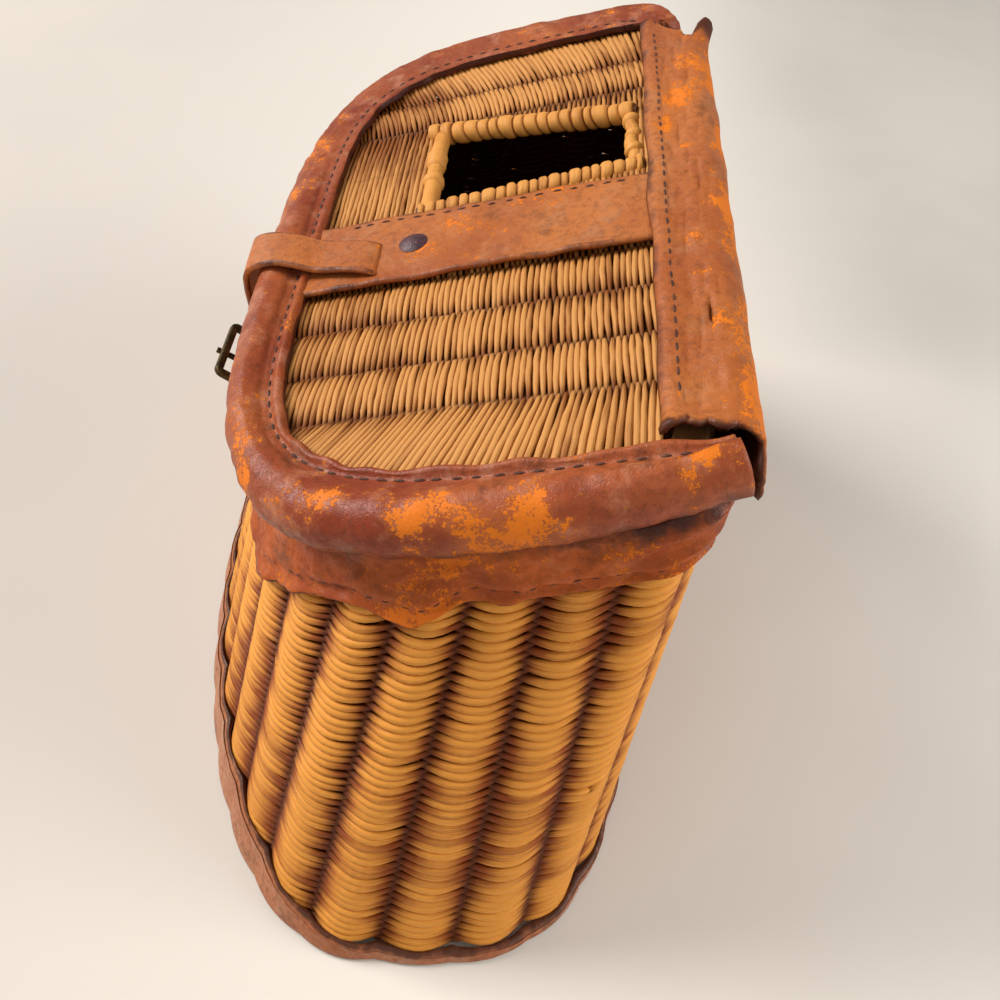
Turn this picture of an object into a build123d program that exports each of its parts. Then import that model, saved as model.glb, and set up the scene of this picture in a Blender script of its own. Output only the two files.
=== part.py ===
from build123d import *
from math import cos, sin, tan, pi, radians, hypot
import os

# Antique wicker fishing creel, in millimetres.
# X runs along the basket, -Y is its front, +Z is up. The origin is under the middle of the foot.
# The lid slopes down to the front. Lid places are (x, forward, height): forward is measured down the
# slope from the inner edge of the hinge strip, height is measured square to the lid's woven face.

# ---- driving dimensions ----
foot_half_length = 186.5      # outside of the foot's leather, to each end
foot_half_depth = 91.0        # outside of the foot's leather, to the front and to the back
foot_widest_y = -6.0          # where the foot is widest
foot_powers = (1.95, 3.6)     # squareness of its front and of its back, 2 is an ellipse
hinge_height = 196.0          # inner edge of the hinge strip above the floor
hinge_y = 68.5                # the same edge, from the middle of the foot
lid_slope = 18.0              # degrees, down to the front
lid_half_length = 135.0       # outside of the lid's leather roll
lid_front = 141.0             # forward reach of the roll
lid_back = 17.5               # the lid's woven back edge lies this far behind the hinge strip's inner edge
mouth_half_length = 125.5     # middle of the wall's thickness at the mouth
mouth_front = 128.4
mouth_back = 7.2
mouth_powers = (3.0, 8.0)
lid_powers = (3.1, 6.0)
widest_forward = 45.0         # where the mouth and the lid are widest
stake_count = 35              # odd, so that one strand passes over and under every stake in turn
ring_steps = 2880             # places worked out along each outline
ring_look = 0.002             # share of an outline to either side that gives its direction
smooth_steps = 70             # points in each smooth outline of the wall
lid_steps = 44                # and of the lid

# ---- clearances ----
seam = 0.05                   # between two parts that touch
leather_gap = 0.15            # between leather and the weave that it covers
spare = 3.0                   # how far a cutting shape passes the faces that it cuts
wide = 600.0                  # wider than the whole basket

# ---- weave ----
wall_at_stake = 4.1           # half the wall's thickness over a stake
wall_at_gap = 1.5             # half of it between two stakes
stake_radius = 1.6
floor_thick = 5.0
foot_band_low, foot_band_high = 0.5, 13.0
foot_play = 0.2
lid_weave_thick = 6.0
lid_weave_at_crossing = 1.4   # its thickness along the lines where the strands cross
lid_crossings = [-122.0, -93.5, -72.5, 6.0, 27.5, 46.5, 68.0, 88.0, 122.0]   # x of those lines
lid_stake_radius = 1.4
lid_stake_places = [-104.0, -83.0, 17.0, 37.0, 57.0, 78.0, 101.0]            # x of each, running to the front
front_stake_places = [-52.0, -34.0, -16.0]                                  # and in front of the fish hole
stake_power = 4.2             # squareness of the line on which they end

# ---- heights on the lid's own axis ----
roll_top = 6.0
roll_bottom = -11.5
rim_top = -12.0               # top of the mouth's leather
band_thick = 2.4
hoop_size = 7.0
wall_top = rim_top - band_thick - hoop_size
rim_band_drop = 13.0          # leather below the top of the wall, outside
rim_lip_drop = 9.0            # and inside

# ---- leather and canes of the lid ----
roll_width = 18.0
roll_radius = 7.2
roll_rounding = [(6.0, -0.5), (3.6, 1.0), (1.4, 3.4), (0.0, 7.0)]   # hollow: in from its edge, from its face
flange_overlap = 2.5
lid_hoop_inset = 5.0          # leather and padding outside the lid's hoop
lid_hoop_width = 8.5
lid_hoop_height = 8.0
leather = 2.3
inner_half_length = 116.0     # inner edge of the roll's flat flange
inner_front = 115.3
field_powers = (5.0, 4.65)    # squareness of that edge, along and across the lid
field_steps = 24
strap_left, strap_right = -6.8, 28.9
hinge_strip_half = 113.0
hinge_back_drop = 26.0
cane_radius = 2.6
wrap_radius = 4.2
side_cane_height = -1.7       # middle of the wrapped canes
border = 2 * wrap_radius + 0.4        # width of the fish hole's wrapped edge
back_border = 6.0                     # and of its bare back edge
hole_front_left, hole_front_right = (-62.0, 76.0), (-16.0, 75.0)    # x, forward
hole_back_left, hole_back_right = (-49.0, 10.0), (-22.0, 9.0)
rivet_place = (11.0, 80.0)            # x, forward, on the centre strap
rivet_shank = 1.9
rivet_head = 5.0
rivet_ball = 9.0              # radius of the dome
burr_radius, burr_thick = 5.5, 1.5

# ---- latch and buckle ----
latch_width = 16.0
latch_thick = 2.3
latch_skew = 12.0             # degrees, the strap runs aslant over the roll
latch_start_x, latch_start = 17.0, 93.0
latch_tail_length = 28.0
tail_pivot = (lid_front + 5.1, -0.6)   # forward, height: the outer face of the strap's fold
buckle_height = 97.0          # the buckle's bar above the floor
buckle_rest_angle = 33.0      # degrees above level, the frame stands out from the wall
buckle_reach = 20.0           # from the bar to the middle of the outer side
buckle_width = 29.0
buckle_wire = 3.0
buckle_bar_radius = 1.7
fit_gap = 0.06                # running clearance round the bar
chape_width = 19.0
chape_length = 40.0
chape_thick = 3.4
chape_rivets = (-15.0, -30.0)         # below the buckle's bar
chape_shank, chape_head = 1.3, 3.4    # radii of its rivets
chape_head_thick = 1.2

lid_plane = Plane(
    origin=(0, hinge_y, hinge_height),
    x_dir=(1, 0, 0),
    z_dir=(0, -sin(radians(lid_slope)), cos(radians(lid_slope))),
)
floor_plane = Plane.XY


def lid_world(x, forward, height):
    return lid_plane.from_local_coords(Vector(x, -forward, height))


# ---- outlines: two half superellipses that meet where the outline is widest ----
def half_oval(half_length, front, back, widest, front_power, back_power, turn):
    c, s = cos(turn), sin(turn)
    power = back_power if s > 0 else front_power
    reach = (back - widest) if s > 0 else (widest - front)
    x = half_length * (1 if c > 0 else -1) * abs(c) ** (2 / power)
    y = widest + reach * (1 if s > 0 else -1) * abs(s) ** (2 / power)
    return x, y


class Ring:
    """A closed outline with places evenly spaced along it, from the middle of the back, clockwise."""

    def __init__(self, *shape):
        turns = [pi / 2 - 2 * pi * k / ring_steps for k in range(ring_steps + 1)]
        self.points = [half_oval(*shape, turn) for turn in turns]
        self.lengths = [0.0]
        for (xa, ya), (xb, yb) in zip(self.points, self.points[1:]):
            self.lengths.append(self.lengths[-1] + hypot(xb - xa, yb - ya))
        self.length = self.lengths[-1]

    def place(self, share):
        goal = (share % 1.0) * self.length
        low, high = 0, len(self.lengths) - 1
        while high - low > 1:
            middle = (low + high) // 2
            if self.lengths[middle] <= goal:
                low = middle
            else:
                high = middle
        part = (goal - self.lengths[low]) / (self.lengths[high] - self.lengths[low])
        xa, ya = self.points[low]
        xb, yb = self.points[high]
        return xa + part * (xb - xa), ya + part * (yb - ya)

    def offset(self, share, out):
        x, y = self.place(share)
        xa, ya = self.place(share - ring_look)
        xb, yb = self.place(share + ring_look)
        run = hypot(xb - xa, yb - ya)
        return x - out * (yb - ya) / run, y + out * (xb - xa) / run


foot_inset = band_thick + wall_at_stake + foot_play      # leather outside, to the middle of the wall
foot_ring = Ring(
    foot_half_length - foot_inset,
    -foot_half_depth + foot_inset,
    foot_half_depth - foot_inset,
    foot_widest_y,
    *foot_powers,
)
mouth_ring = Ring(mouth_half_length, -mouth_front, mouth_back, -widest_forward, *mouth_powers)
lid_ring = Ring(lid_half_length, -lid_front, lid_back, -widest_forward, *lid_powers)


def wall_point(share, out, plane):
    """Where the wall's straight line at this share of the way round meets a plane."""
    foot = Vector(*foot_ring.offset(share, out), 0)
    x, y = mouth_ring.offset(share, out)
    mouth = lid_plane.from_local_coords(Vector(x, y, wall_top))
    normal = plane.z_dir
    run = mouth - foot
    return foot + run * ((plane.origin - foot).dot(normal) / run.dot(normal))


def lid_level(height):
    return lid_plane.offset(height)


def floor_level(height):
    return floor_plane.offset(height)


def smooth_wire(out, plane):
    points = [wall_point(k / smooth_steps, out, plane) for k in range(smooth_steps)]
    return Wire([Edge.make_spline(points, periodic=True)])


def fluted_wire(side, extra, plane):
    """One arc over each stake; side is 1 outside the wall and -1 inside."""
    arcs = []
    for k in range(stake_count):
        start = wall_point(k / stake_count, side * wall_at_gap + extra, plane)
        crest = wall_point((k + 0.5) / stake_count, side * wall_at_stake + extra, plane)
        end = wall_point((k + 1) / stake_count, side * wall_at_gap + extra, plane)
        arcs.append(Edge.make_three_point_arc(start, crest, end))
    return Wire(arcs)


def between(wire_maker, low, high, *args):
    """A solid with straight sides from one section of the wall to another."""
    return Solid.make_loft([wire_maker(*args, low), wire_maker(*args, high)], ruled=True)


# ---- basket ----
def make_wall():
    bottom, top = floor_level(floor_thick), lid_level(wall_top)
    wall = between(fluted_wire, bottom, top, 1, 0)
    wall -= between(fluted_wire, floor_level(floor_thick - spare), lid_level(wall_top + spare), -1, 0)
    return wall - [stake(k, stake_radius + seam) for k in range(stake_count)]


def stake(k, radius):
    share = (k + 0.5) / stake_count
    foot = wall_point(share, 0, floor_level(floor_thick))
    top = wall_point(share, 0, lid_level(wall_top))
    line = Plane(origin=foot, z_dir=top - foot)
    rod = Solid.make_cylinder(radius, (top - foot).length + 2 * spare, line.offset(-spare))
    above, below = Pos(0, 0, 2 * spare), Pos(0, 0, floor_thick - 2 * spare)
    rod -= lid_level(wall_top) * above * Box(wide, wide, 4 * spare)
    return rod - below * Box(wide, wide, 4 * spare)


def make_floor():
    return between(smooth_wire, floor_plane, floor_level(floor_thick), wall_at_gap)


def wall_ring(low, high, outer, inner):
    """A hoop that leans with the wall."""
    return between(smooth_wire, low, high, outer) - between(smooth_wire, low, high, inner)


def make_floor_hoop():
    low, high = floor_level(floor_thick + seam), floor_level(floor_thick + hoop_size)
    outside = -wall_at_stake - 2 * leather_gap
    return wall_ring(low, high, outside, outside - hoop_size)


def make_foot_band():
    low, high = floor_level(foot_band_low), floor_level(foot_band_high)
    band = between(fluted_wire, low, high, 1, leather_gap + band_thick)
    low, high = floor_level(-spare), floor_level(foot_band_high + spare)
    return band - between(fluted_wire, low, high, 1, leather_gap)


def make_rim_hoop():
    low, high = lid_level(wall_top + seam), lid_level(wall_top + hoop_size - seam)
    return wall_ring(low, high, hoop_size / 2, -hoop_size / 2)


def make_rim_band():
    skirt, lip = lid_level(wall_top - rim_band_drop), lid_level(wall_top - rim_lip_drop)
    top = lid_level(rim_top)
    cap = lid_level(rim_top - band_thick)
    outside = wall_at_stake + leather_gap
    band = between(smooth_wire, skirt, top, outside + band_thick)
    band -= between(smooth_wire, lid_level(wall_top - rim_band_drop - spare), lip, outside)
    band -= wall_ring(lip, cap, outside, -outside)
    return band - between(smooth_wire, skirt, lid_level(rim_top + spare), -outside - band_thick)


# ---- lid ----
def lid_outline(inset, cut=0.0):
    points = [lid_ring.offset((k + 0.5) / lid_steps, -inset) for k in range(lid_steps)]
    return Wire([Edge.make_spline([Vector(x, y, cut) for x, y in points], periodic=True)])


def lid_slab(inset, low, high):
    return extrude(Face(lid_outline(inset, low)), high - low, dir=(0, 0, 1))


def lid_box(x0, x1, back, front, low, high):
    middle = Pos((x0 + x1) / 2, -(back + front) / 2, (low + high) / 2)
    return middle * Box(x1 - x0, front - back, high - low)


def lid_rod(start, end, radius, height):
    foot = Vector(start[0], -start[1], height)
    run = Vector(end[0], -end[1], height) - foot
    return Solid.make_cylinder(radius, run.length, Plane(origin=foot, z_dir=run))


def moved(point, dx, dforward):
    return point[0] + dx, point[1] + dforward


weave_hole = [
    moved(hole_front_left, -border, border),
    moved(hole_front_right, border, border),
    moved(hole_back_right, border, -back_border),
    moved(hole_back_left, -border, -back_border),
]


def make_hole_cutter():
    low, high = -lid_weave_thick - spare, spare
    points = [Vector(x, -forward, low) for x, forward in weave_hole]
    return extrude(Face(Wire.make_polygon(points)), high - low, dir=(0, 0, 1))


def lid_stake_rods(radius):
    hole_front = hole_front_left[1] + border + 1
    starts = [(x, -0.5) for x in lid_stake_places] + [(x, hole_front) for x in front_stake_places]
    middle = -lid_weave_thick / 2
    within = lid_slab(roll_width + 0.3, -lid_weave_thick, 0)
    return [lid_rod(start, (start[0], stake_reach(start[0])), radius, middle) & within for start in starts]


def stake_reach(x):
    """Forward end of a stake, on a superellipse a little outside the woven field."""
    share = abs(x) / (inner_half_length + 4)
    return (inner_front + 2) * (1 - share ** stake_power) ** (1 / stake_power)


def lid_bands():
    """Bands of strands that bulge over each stake, from one crossing line to the next."""
    middle, crossing = -lid_weave_thick / 2, lid_weave_at_crossing / 2
    behind, in_front = lid_back + 10, lid_front + 10
    arcs = []
    for side in (1, -1):
        for xa, xb in zip(lid_crossings, lid_crossings[1:]):
            ends = [Vector(x, 0, middle + side * crossing) for x in (xa, xb)]
            crest = Vector((xa + xb) / 2, 0, middle + side * lid_weave_thick / 2)
            arcs.append(Edge.make_three_point_arc(ends[0], crest, ends[1]))
    for x in (lid_crossings[0], lid_crossings[-1]):
        ends = [Vector(x, 0, middle + side * crossing) for side in (1, -1)]
        arcs.append(Edge.make_line(*ends))
    section = Face(Wire.combine(arcs)[0])
    return Pos(0, behind, 0) * extrude(section, behind + in_front, dir=(0, -1, 0))


def make_lid_weave():
    weave = lid_slab(roll_width + 2 * seam, -lid_weave_thick, 0) & lid_bands()
    weave -= make_hole_cutter()
    return weave - lid_stake_rods(lid_stake_radius + seam)


def make_lid_hoop():
    top = -2 * leather_gap
    bottom = top - lid_hoop_height
    hoop = lid_slab(lid_hoop_inset, bottom, top)
    return hoop - lid_slab(lid_hoop_inset + lid_hoop_width, bottom - spare, top + spare)


def roll_hollow():
    """The space inside the roll, wider at its top and bottom, so that the roll is round there too."""
    above = [lid_outline(roll_width - inset, roll_top - drop) for inset, drop in roll_rounding]
    below = [lid_outline(roll_width - inset, roll_bottom + drop) for inset, drop in reversed(roll_rounding)]
    return Solid.make_loft(above + below, ruled=True)


def make_roll():
    roll = lid_slab(0, roll_bottom, roll_top)
    roll = fillet(roll.edges(), roll_radius) - roll_hollow()
    bottom = -lid_hoop_height
    core = lid_slab(lid_hoop_inset - 2 * seam, bottom - 8 * seam, -4 * seam)
    core -= lid_slab(lid_hoop_inset + lid_hoop_width + 2 * seam, bottom - spare, spare)
    roll -= core
    roll += lid_slab(roll_width - flange_overlap, seam, leather) - inner_field(-spare, leather + spare)
    half = hinge_strip_half + 1
    return roll - lid_box(-half, half, -lid_back - spare, 1.0, roll_bottom - spare, roll_top + spare)


def inner_field(low, high):
    """The woven field that shows inside the roll's flange."""
    points = []
    for k in range(field_steps + 1):
        turn = pi * k / field_steps
        c, s = cos(turn), sin(turn)
        x = inner_half_length * (1 if c > 0 else -1) * abs(c) ** (2 / field_powers[0])
        points.append(Vector(x, -inner_front * abs(s) ** (2 / field_powers[1]), low))
    front = Edge.make_spline(points)
    behind = 2 * lid_back
    corners = [Vector(-inner_half_length, behind, low), Vector(inner_half_length, behind, low)]
    back = Wire.make_polygon([points[-1], *corners, points[0]], close=False)
    return extrude(Face(Wire([front] + list(back.edges()))), high - low, dir=(0, 0, 1))


def make_flat_cane(left, right):
    """A bare cane across the front or the back of the fish hole."""
    return lid_rod(left, right, cane_radius, -lid_weave_thick / 2)


def hole_side(front, back, dx):
    """Middle line of the wrapped cane beside the hole, a little longer than the hole."""
    return moved(back, dx, -4.0), moved(front, dx, 7.5)


def make_side_cane(start, end):
    return lid_rod(start, end, cane_radius, side_cane_height)


def make_wrapping(start, end):
    sleeve = lid_rod(start, end, wrap_radius, side_cane_height)
    return sleeve - lid_rod(start, end, cane_radius + seam, side_cane_height)


def make_centre_strap():
    strap = lid_box(strap_left, strap_right, 1.2, inner_front - 0.8, seam, leather + seam)
    return cut_rivet_hole(strap)


def lid_rod_upright(place, radius, low, high):
    return Pos(place[0], -place[1], (low + high) / 2) * Cylinder(radius, high - low)


def make_rivet():
    """Domed head, and a shank through the strap and the weave."""
    seat = leather + 2 * seam
    sink = (rivet_ball ** 2 - rivet_head ** 2) ** 0.5
    dome = Pos(rivet_place[0], -rivet_place[1], seat - sink) * Sphere(rivet_ball)
    dome = dome & lid_rod_upright(rivet_place, rivet_head, seat, seat + rivet_ball)
    return dome + lid_rod_upright(rivet_place, rivet_shank, -lid_weave_thick - spare, seat)


def make_burr():
    top = -lid_weave_thick - 2 * seam
    return cut_rivet_hole(lid_rod_upright(rivet_place, burr_radius, top - burr_thick, top))


def cut_rivet_hole(shape):
    return shape - lid_rod_upright(rivet_place, rivet_shank + seam, -4 * spare, 4 * spare)


def yz_slab(points, x0, x1):
    """A prism along X whose section is a list of (y, z)."""
    wire = Wire.make_polygon([Vector(x0, y, z) for y, z in points])
    return extrude(Face(wire), x1 - x0, dir=(1, 0, 0))


def lid_yz(forward, height):
    place = lid_world(0, forward, height)
    return place.Y, place.Z


hinge_y_out = foot_half_depth
seam_height = (rim_top + roll_bottom) / 2
hinge_z = (
    hinge_height
    + (hinge_y_out - hinge_y) * tan(radians(lid_slope))
    + seam_height / cos(radians(lid_slope))
)


def make_hinge_strip_lid():
    """Leather from the lid's top, over its back edge and down to the seam."""
    top = leather + 2 * leather_gap
    fold = lid_yz(-lid_back - 3.4, top)
    points = [
        lid_yz(0.7, seam),
        lid_yz(0.7, top),
        fold,
        (hinge_y_out, fold[1] - 3.5),
        (hinge_y_out, hinge_z + 0.1),
        lid_yz(-lid_back - 2 * seam, roll_bottom),
        lid_yz(-lid_back - 2 * seam, seam),
    ]
    return yz_slab(points, -hinge_strip_half, hinge_strip_half)


def make_hinge_strip_back():
    """The same leather on the back of the basket, below the seam."""
    inner = hinge_y_out - 2.2
    points = [
        (inner, hinge_z - 1.3),
        (hinge_y_out, hinge_z - 0.6),
        (hinge_y_out, hinge_z - hinge_back_drop),
        (inner, hinge_z - hinge_back_drop),
    ]
    return yz_slab(points, -hinge_strip_half - 4, hinge_strip_half + 4)


# ---- latch strap: half on the lid, half hanging from the roll ----

def make_latch_strap():
    """The half on the lid: (distance from its start, height) under the strap, then back over it."""
    under = [(0, 0.15), (27, 0.2), (33.5, 4.6), (38.5, 4.7)]
    under += [(43.5, 4.6), (47.4, 3.6), (50.2, 1.2), (51.4, -2)]
    over = [(53.7, -2.0), (52.5, 2.4), (48.9, 5.7), (44.3, 6.9)]
    over += [(38.5, 7.0), (32.6, 6.9), (26, 2.6), (0, 2.4)]
    points = [Vector(0, -run, height + leather + seam) for run, height in under + over]
    strap = extrude(Face(Wire.make_polygon(points)), latch_width, dir=(1, 0, 0))
    strap = Pos(-latch_width / 2, 0, 0) * strap
    return Pos(latch_start_x, -latch_start, 0) * Rot(0, 0, -latch_skew) * strap


def tail_place():
    run = (tail_pivot[0] - latch_start) * tan(radians(latch_skew))
    return lid_world(latch_start_x - run, *tail_pivot)


def make_latch_tail():
    pivot = tail_place()
    middle = (0, latch_thick / 2 + 0.1, -latch_tail_length / 2 - 0.3)
    strap = Pos(middle) * Box(latch_width, latch_thick, latch_tail_length)
    strap = fillet(strap.edges().filter_by(Axis.Y).group_by(Axis.Z)[0], 5.0)
    hole = Pos(0, 0, -latch_tail_length + 8) * Rot(90, 0, 0) * Cylinder(1.6, 10)
    return Pos(pivot.X, pivot.Y, pivot.Z) * Rot(0, latch_skew, 0) * (strap - hole)


# ---- buckle, on the crest over the front's middle stake ----
front_crest_foot = wall_point(0.5, wall_at_stake, floor_level(floor_thick))
front_crest = wall_point(0.5, wall_at_stake, floor_level(buckle_height))
front_up = (front_crest - front_crest_foot).normalized()
front_plane = Plane(
    origin=front_crest,
    x_dir=(1, 0, 0),
    z_dir=Vector(1, 0, 0).cross(front_up),
)
bar_stand = buckle_bar_radius + fit_gap + 1.9     # bar's middle, out from the crest
buckle_pivot = front_plane.from_local_coords(Vector(0, 0, bar_stand))


def x_rod(radius, length):
    return Rot(0, 90, 0) * Cylinder(radius, length)


def make_chape():
    """Leather folded round the buckle's bar, both plies fastened to the wall below it."""
    loop = Pos(0, 0, bar_stand) * x_rod(bar_stand - 0.1, chape_width)
    plies = Pos(0, -chape_length / 2, chape_thick / 2 + 0.1) * Box(chape_width, chape_length, chape_thick)
    plies = fillet(plies.edges().filter_by(Axis.Z).group_by(Axis.Y)[0], 4.0)
    chape = loop + plies
    chape -= Pos(0, 0, bar_stand) * x_rod(buckle_bar_radius + fit_gap, chape_width + 4)
    chape -= Pos(0, 3.0, bar_stand + 1.0) * Box(3.8, 14.0, 9.5)      # slot for the prong
    for y in chape_rivets:
        chape -= Pos(0, y, 0) * Cylinder(chape_shank + seam, 4 * chape_thick)
    return front_plane * chape


def make_chape_rivets():
    rivets = []
    for y in chape_rivets:
        shank = Pos(0, y, 0.1 + chape_thick / 2) * Cylinder(chape_shank, chape_thick)
        head = Pos(0, y, chape_thick + 0.1 + chape_head_thick / 2) * Cylinder(chape_head, chape_head_thick)
        head = fillet(head.edges().group_by(Axis.Z)[-1], 0.9)
        rivets.append(front_plane * (shank + head))
    return Compound(children=rivets)


def buckle_frame_plane():
    angle = radians(buckle_rest_angle)
    along = Vector(0, -cos(angle), sin(angle))
    return Plane(origin=buckle_pivot, x_dir=(1, 0, 0), z_dir=Vector(1, 0, 0).cross(along))


def make_buckle_frame():
    """Square loop of round-edged wire; its local Y runs from the bar to the outer side."""
    half = buckle_wire / 2
    outer = Pos(0, (buckle_reach - 1.4) / 2 + 0.2, 0) * Box(
        buckle_width, buckle_reach + buckle_wire + 1.0, buckle_wire
    )
    outer = fillet(outer.edges().filter_by(Axis.Z), 3.2)
    inner_width = buckle_width - 2 * buckle_wire
    window = Pos(0, (buckle_reach - half) / 2 - 4, 0) * Box(inner_width, buckle_reach - half + 8, 10)
    frame = outer - window
    frame = fillet(frame.edges().group_by(Axis.Z)[0], 1.0)
    frame = fillet(frame.edges().group_by(Axis.Z)[-1], 1.0)
    bar = x_rod(buckle_bar_radius, inner_width + 2)
    return buckle_frame_plane() * (frame + bar)


def make_prong():
    """Wire eye round the bar in the chape's slot, and a tongue that rests on the outer side."""
    eye = x_rod(buckle_bar_radius + fit_gap + 1.3, 2.6) - x_rod(buckle_bar_radius + fit_gap, 4)
    tip = Vector(0, buckle_reach + 2.6, buckle_wire / 2 + 1.5)
    root = Vector(0, buckle_bar_radius + 0.8, 1.2)
    run = tip - root
    tongue = Solid.make_cylinder(1.15, run.length, Plane(origin=root, z_dir=run))
    tongue -= x_rod(buckle_bar_radius + fit_gap, 6)
    return buckle_frame_plane() * (eye + tongue)


def on_lid(shape):
    return lid_plane * shape


near_side = hole_side(hole_front_right, hole_back_right, wrap_radius)
far_side = hole_side(hole_front_left, hole_back_left, -wrap_radius)
front_bar = moved(hole_front_left, 1.7, 3.5), moved(hole_front_right, -0.7, 4.5)
back_bar = moved(hole_back_left, 1.5, -3.0), moved(hole_back_right, -1.5, -3.0)

nodes = {
    "wall_weave": make_wall,
    "wall_stakes": lambda: Compound(children=[stake(k, stake_radius) for k in range(stake_count)]),
    "floor_weave": make_floor,
    "floor_hoop": make_floor_hoop,
    "foot_leather": make_foot_band,
    "mouth_hoop": make_rim_hoop,
    "mouth_leather": make_rim_band,
    "hinge_strip_back": make_hinge_strip_back,
    "buckle_chape": make_chape,
    "chape_rivets": make_chape_rivets,
    "buckle_frame": make_buckle_frame,
    "buckle_prong": make_prong,
    "lid_weave": lambda: on_lid(cut_rivet_hole(make_lid_weave())),
    "lid_stakes": lambda: on_lid(Compound(children=lid_stake_rods(lid_stake_radius))),
    "lid_hoop": lambda: on_lid(make_lid_hoop()),
    "lid_leather_roll": lambda: on_lid(make_roll()),
    "hole_front_cane": lambda: on_lid(make_flat_cane(*front_bar)),
    "hole_back_cane": lambda: on_lid(make_flat_cane(*back_bar)),
    "hole_near_cane": lambda: on_lid(make_side_cane(*near_side)),
    "hole_far_cane": lambda: on_lid(make_side_cane(*far_side)),
    "hole_near_wrapping": lambda: on_lid(make_wrapping(*near_side)),
    "hole_far_wrapping": lambda: on_lid(make_wrapping(*far_side)),
    "centre_strap": lambda: on_lid(make_centre_strap()),
    "strap_rivet": lambda: on_lid(make_rivet()),
    "rivet_burr": lambda: on_lid(make_burr()),
    "hinge_strip_lid": make_hinge_strip_lid,
    "latch_strap": lambda: on_lid(make_latch_strap()),
    "latch_tail": make_latch_tail,
}

os.makedirs("parts", exist_ok=True)
for name, make in nodes.items():
    export_step(make(), f"parts/{name}.step")

tail = tail_place()
print("lid hinge", hinge_y_out, round(hinge_z, 2))
print("latch tail pivot", round(tail.X, 2), round(tail.Y, 2), round(tail.Z, 2))
print("buckle pivot", round(buckle_pivot.Y, 2), round(buckle_pivot.Z, 2))
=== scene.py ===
from math import cos, sin, radians, pi

import bpy
import numpy as np
from mathutils import Matrix, Vector


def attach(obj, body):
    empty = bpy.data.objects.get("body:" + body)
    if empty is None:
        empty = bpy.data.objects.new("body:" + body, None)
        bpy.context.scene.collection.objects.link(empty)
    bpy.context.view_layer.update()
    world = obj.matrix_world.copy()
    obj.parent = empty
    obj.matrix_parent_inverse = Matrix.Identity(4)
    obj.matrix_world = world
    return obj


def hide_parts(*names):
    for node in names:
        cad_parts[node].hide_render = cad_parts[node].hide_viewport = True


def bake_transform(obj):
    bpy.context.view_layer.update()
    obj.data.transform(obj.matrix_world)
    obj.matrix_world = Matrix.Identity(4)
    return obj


# An antique wicker fishing creel with a hinged lid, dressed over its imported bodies.
# Lengths in the settings are millimetres, and makePiece turns them to metres.
# Lid places are (x, forward, height): forward runs down the lid's slope, height stands square to it.

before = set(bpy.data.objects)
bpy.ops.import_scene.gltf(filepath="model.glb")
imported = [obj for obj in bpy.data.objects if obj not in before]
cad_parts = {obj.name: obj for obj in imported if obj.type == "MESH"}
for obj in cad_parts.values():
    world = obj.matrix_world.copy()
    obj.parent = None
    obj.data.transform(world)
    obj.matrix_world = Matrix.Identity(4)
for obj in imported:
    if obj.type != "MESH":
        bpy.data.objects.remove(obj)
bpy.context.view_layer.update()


# the basket's frame; each outline is half its length, its front, its back, the line it is widest on,
# then the power of its front half and of its back half
basketShape = {
    "foot": (179.8, -84.3, 84.3, -6.0, 1.95, 3.6),
    "mouth": (125.5, -128.4, 7.2, -45.0, 3.0, 12.0),
    "lid": (137.5, -136.5, 17.5, -45.0, 3.1, 6.0),
    "hingeY": 68.5,
    "hingeHeight": 196.0,
    "lidSlope": 18.0,
    "wallTop": -21.4,
    "stakes": 35,
}
slopeCos, slopeSin = cos(radians(basketShape["lidSlope"])), sin(radians(basketShape["lidSlope"]))
lidUp = np.array([0, -slopeSin, slopeCos])      # square to the lid's face


def gather(x, y, z):
    # coordinates of shapes that fit together, put together as points
    return np.stack([a.astype(float) for a in np.broadcast_arrays(x, y, z)], -1)


def lidPlace(x, forward, height):
    # the lid's own axes turned about X by the slope
    y = basketShape["hingeY"] - forward * slopeCos - height * slopeSin
    z = basketShape["hingeHeight"] - forward * slopeSin + height * slopeCos
    return gather(x, y, z)


class Ring:
    # two half superellipses that meet where the outline is widest, spaced evenly along their length,
    # running clockwise from the middle of the back
    def __init__(self, halfLength, front, back, widest, frontPower, backPower):
        turn = pi / 2 - 2 * pi * np.linspace(0, 1, 2881)
        c, s = np.cos(turn), np.sin(turn)
        power = np.where(s > 0, backPower, frontPower)
        reach = np.where(s > 0, back - widest, widest - front)
        self.x = halfLength * np.sign(c) * np.abs(c) ** (2 / power)
        self.y = widest + reach * np.sign(s) * np.abs(s) ** (2 / power)
        steps = np.hypot(np.diff(self.x), np.diff(self.y))
        self.run = np.concatenate([[0], np.cumsum(steps)]) / steps.sum()
        self.length = steps.sum()

    def place(self, share):
        share = np.mod(share, 1.0)
        return np.interp(share, self.run, self.x), np.interp(share, self.run, self.y)

    def offset(self, share, out):
        # the outline's own point moved square to it
        x, y = self.place(share)
        xa, ya = self.place(share - 0.002)
        xb, yb = self.place(share + 0.002)
        length = np.hypot(xb - xa, yb - ya)
        return x - out * (yb - ya) / length, y + out * (xb - xa) / length


footRing = Ring(*basketShape["foot"])
mouthRing = Ring(*basketShape["mouth"])
lidRing = Ring(*basketShape["lid"])


def wallPlace(share, out, up):
    # a straight line from the foot (up 0) to the top of the wall (up 1), moved out square to both outlines
    share, out, up = np.broadcast_arrays(*[np.asarray(a, float) for a in (share, out, up)])
    fx, fy = footRing.offset(share, out)
    mx, my = mouthRing.offset(share, out)
    foot = gather(fx, fy, 0)
    mouth = lidPlace(mx, -my, basketShape["wallTop"])
    return foot + (mouth - foot) * up[..., None]


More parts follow.
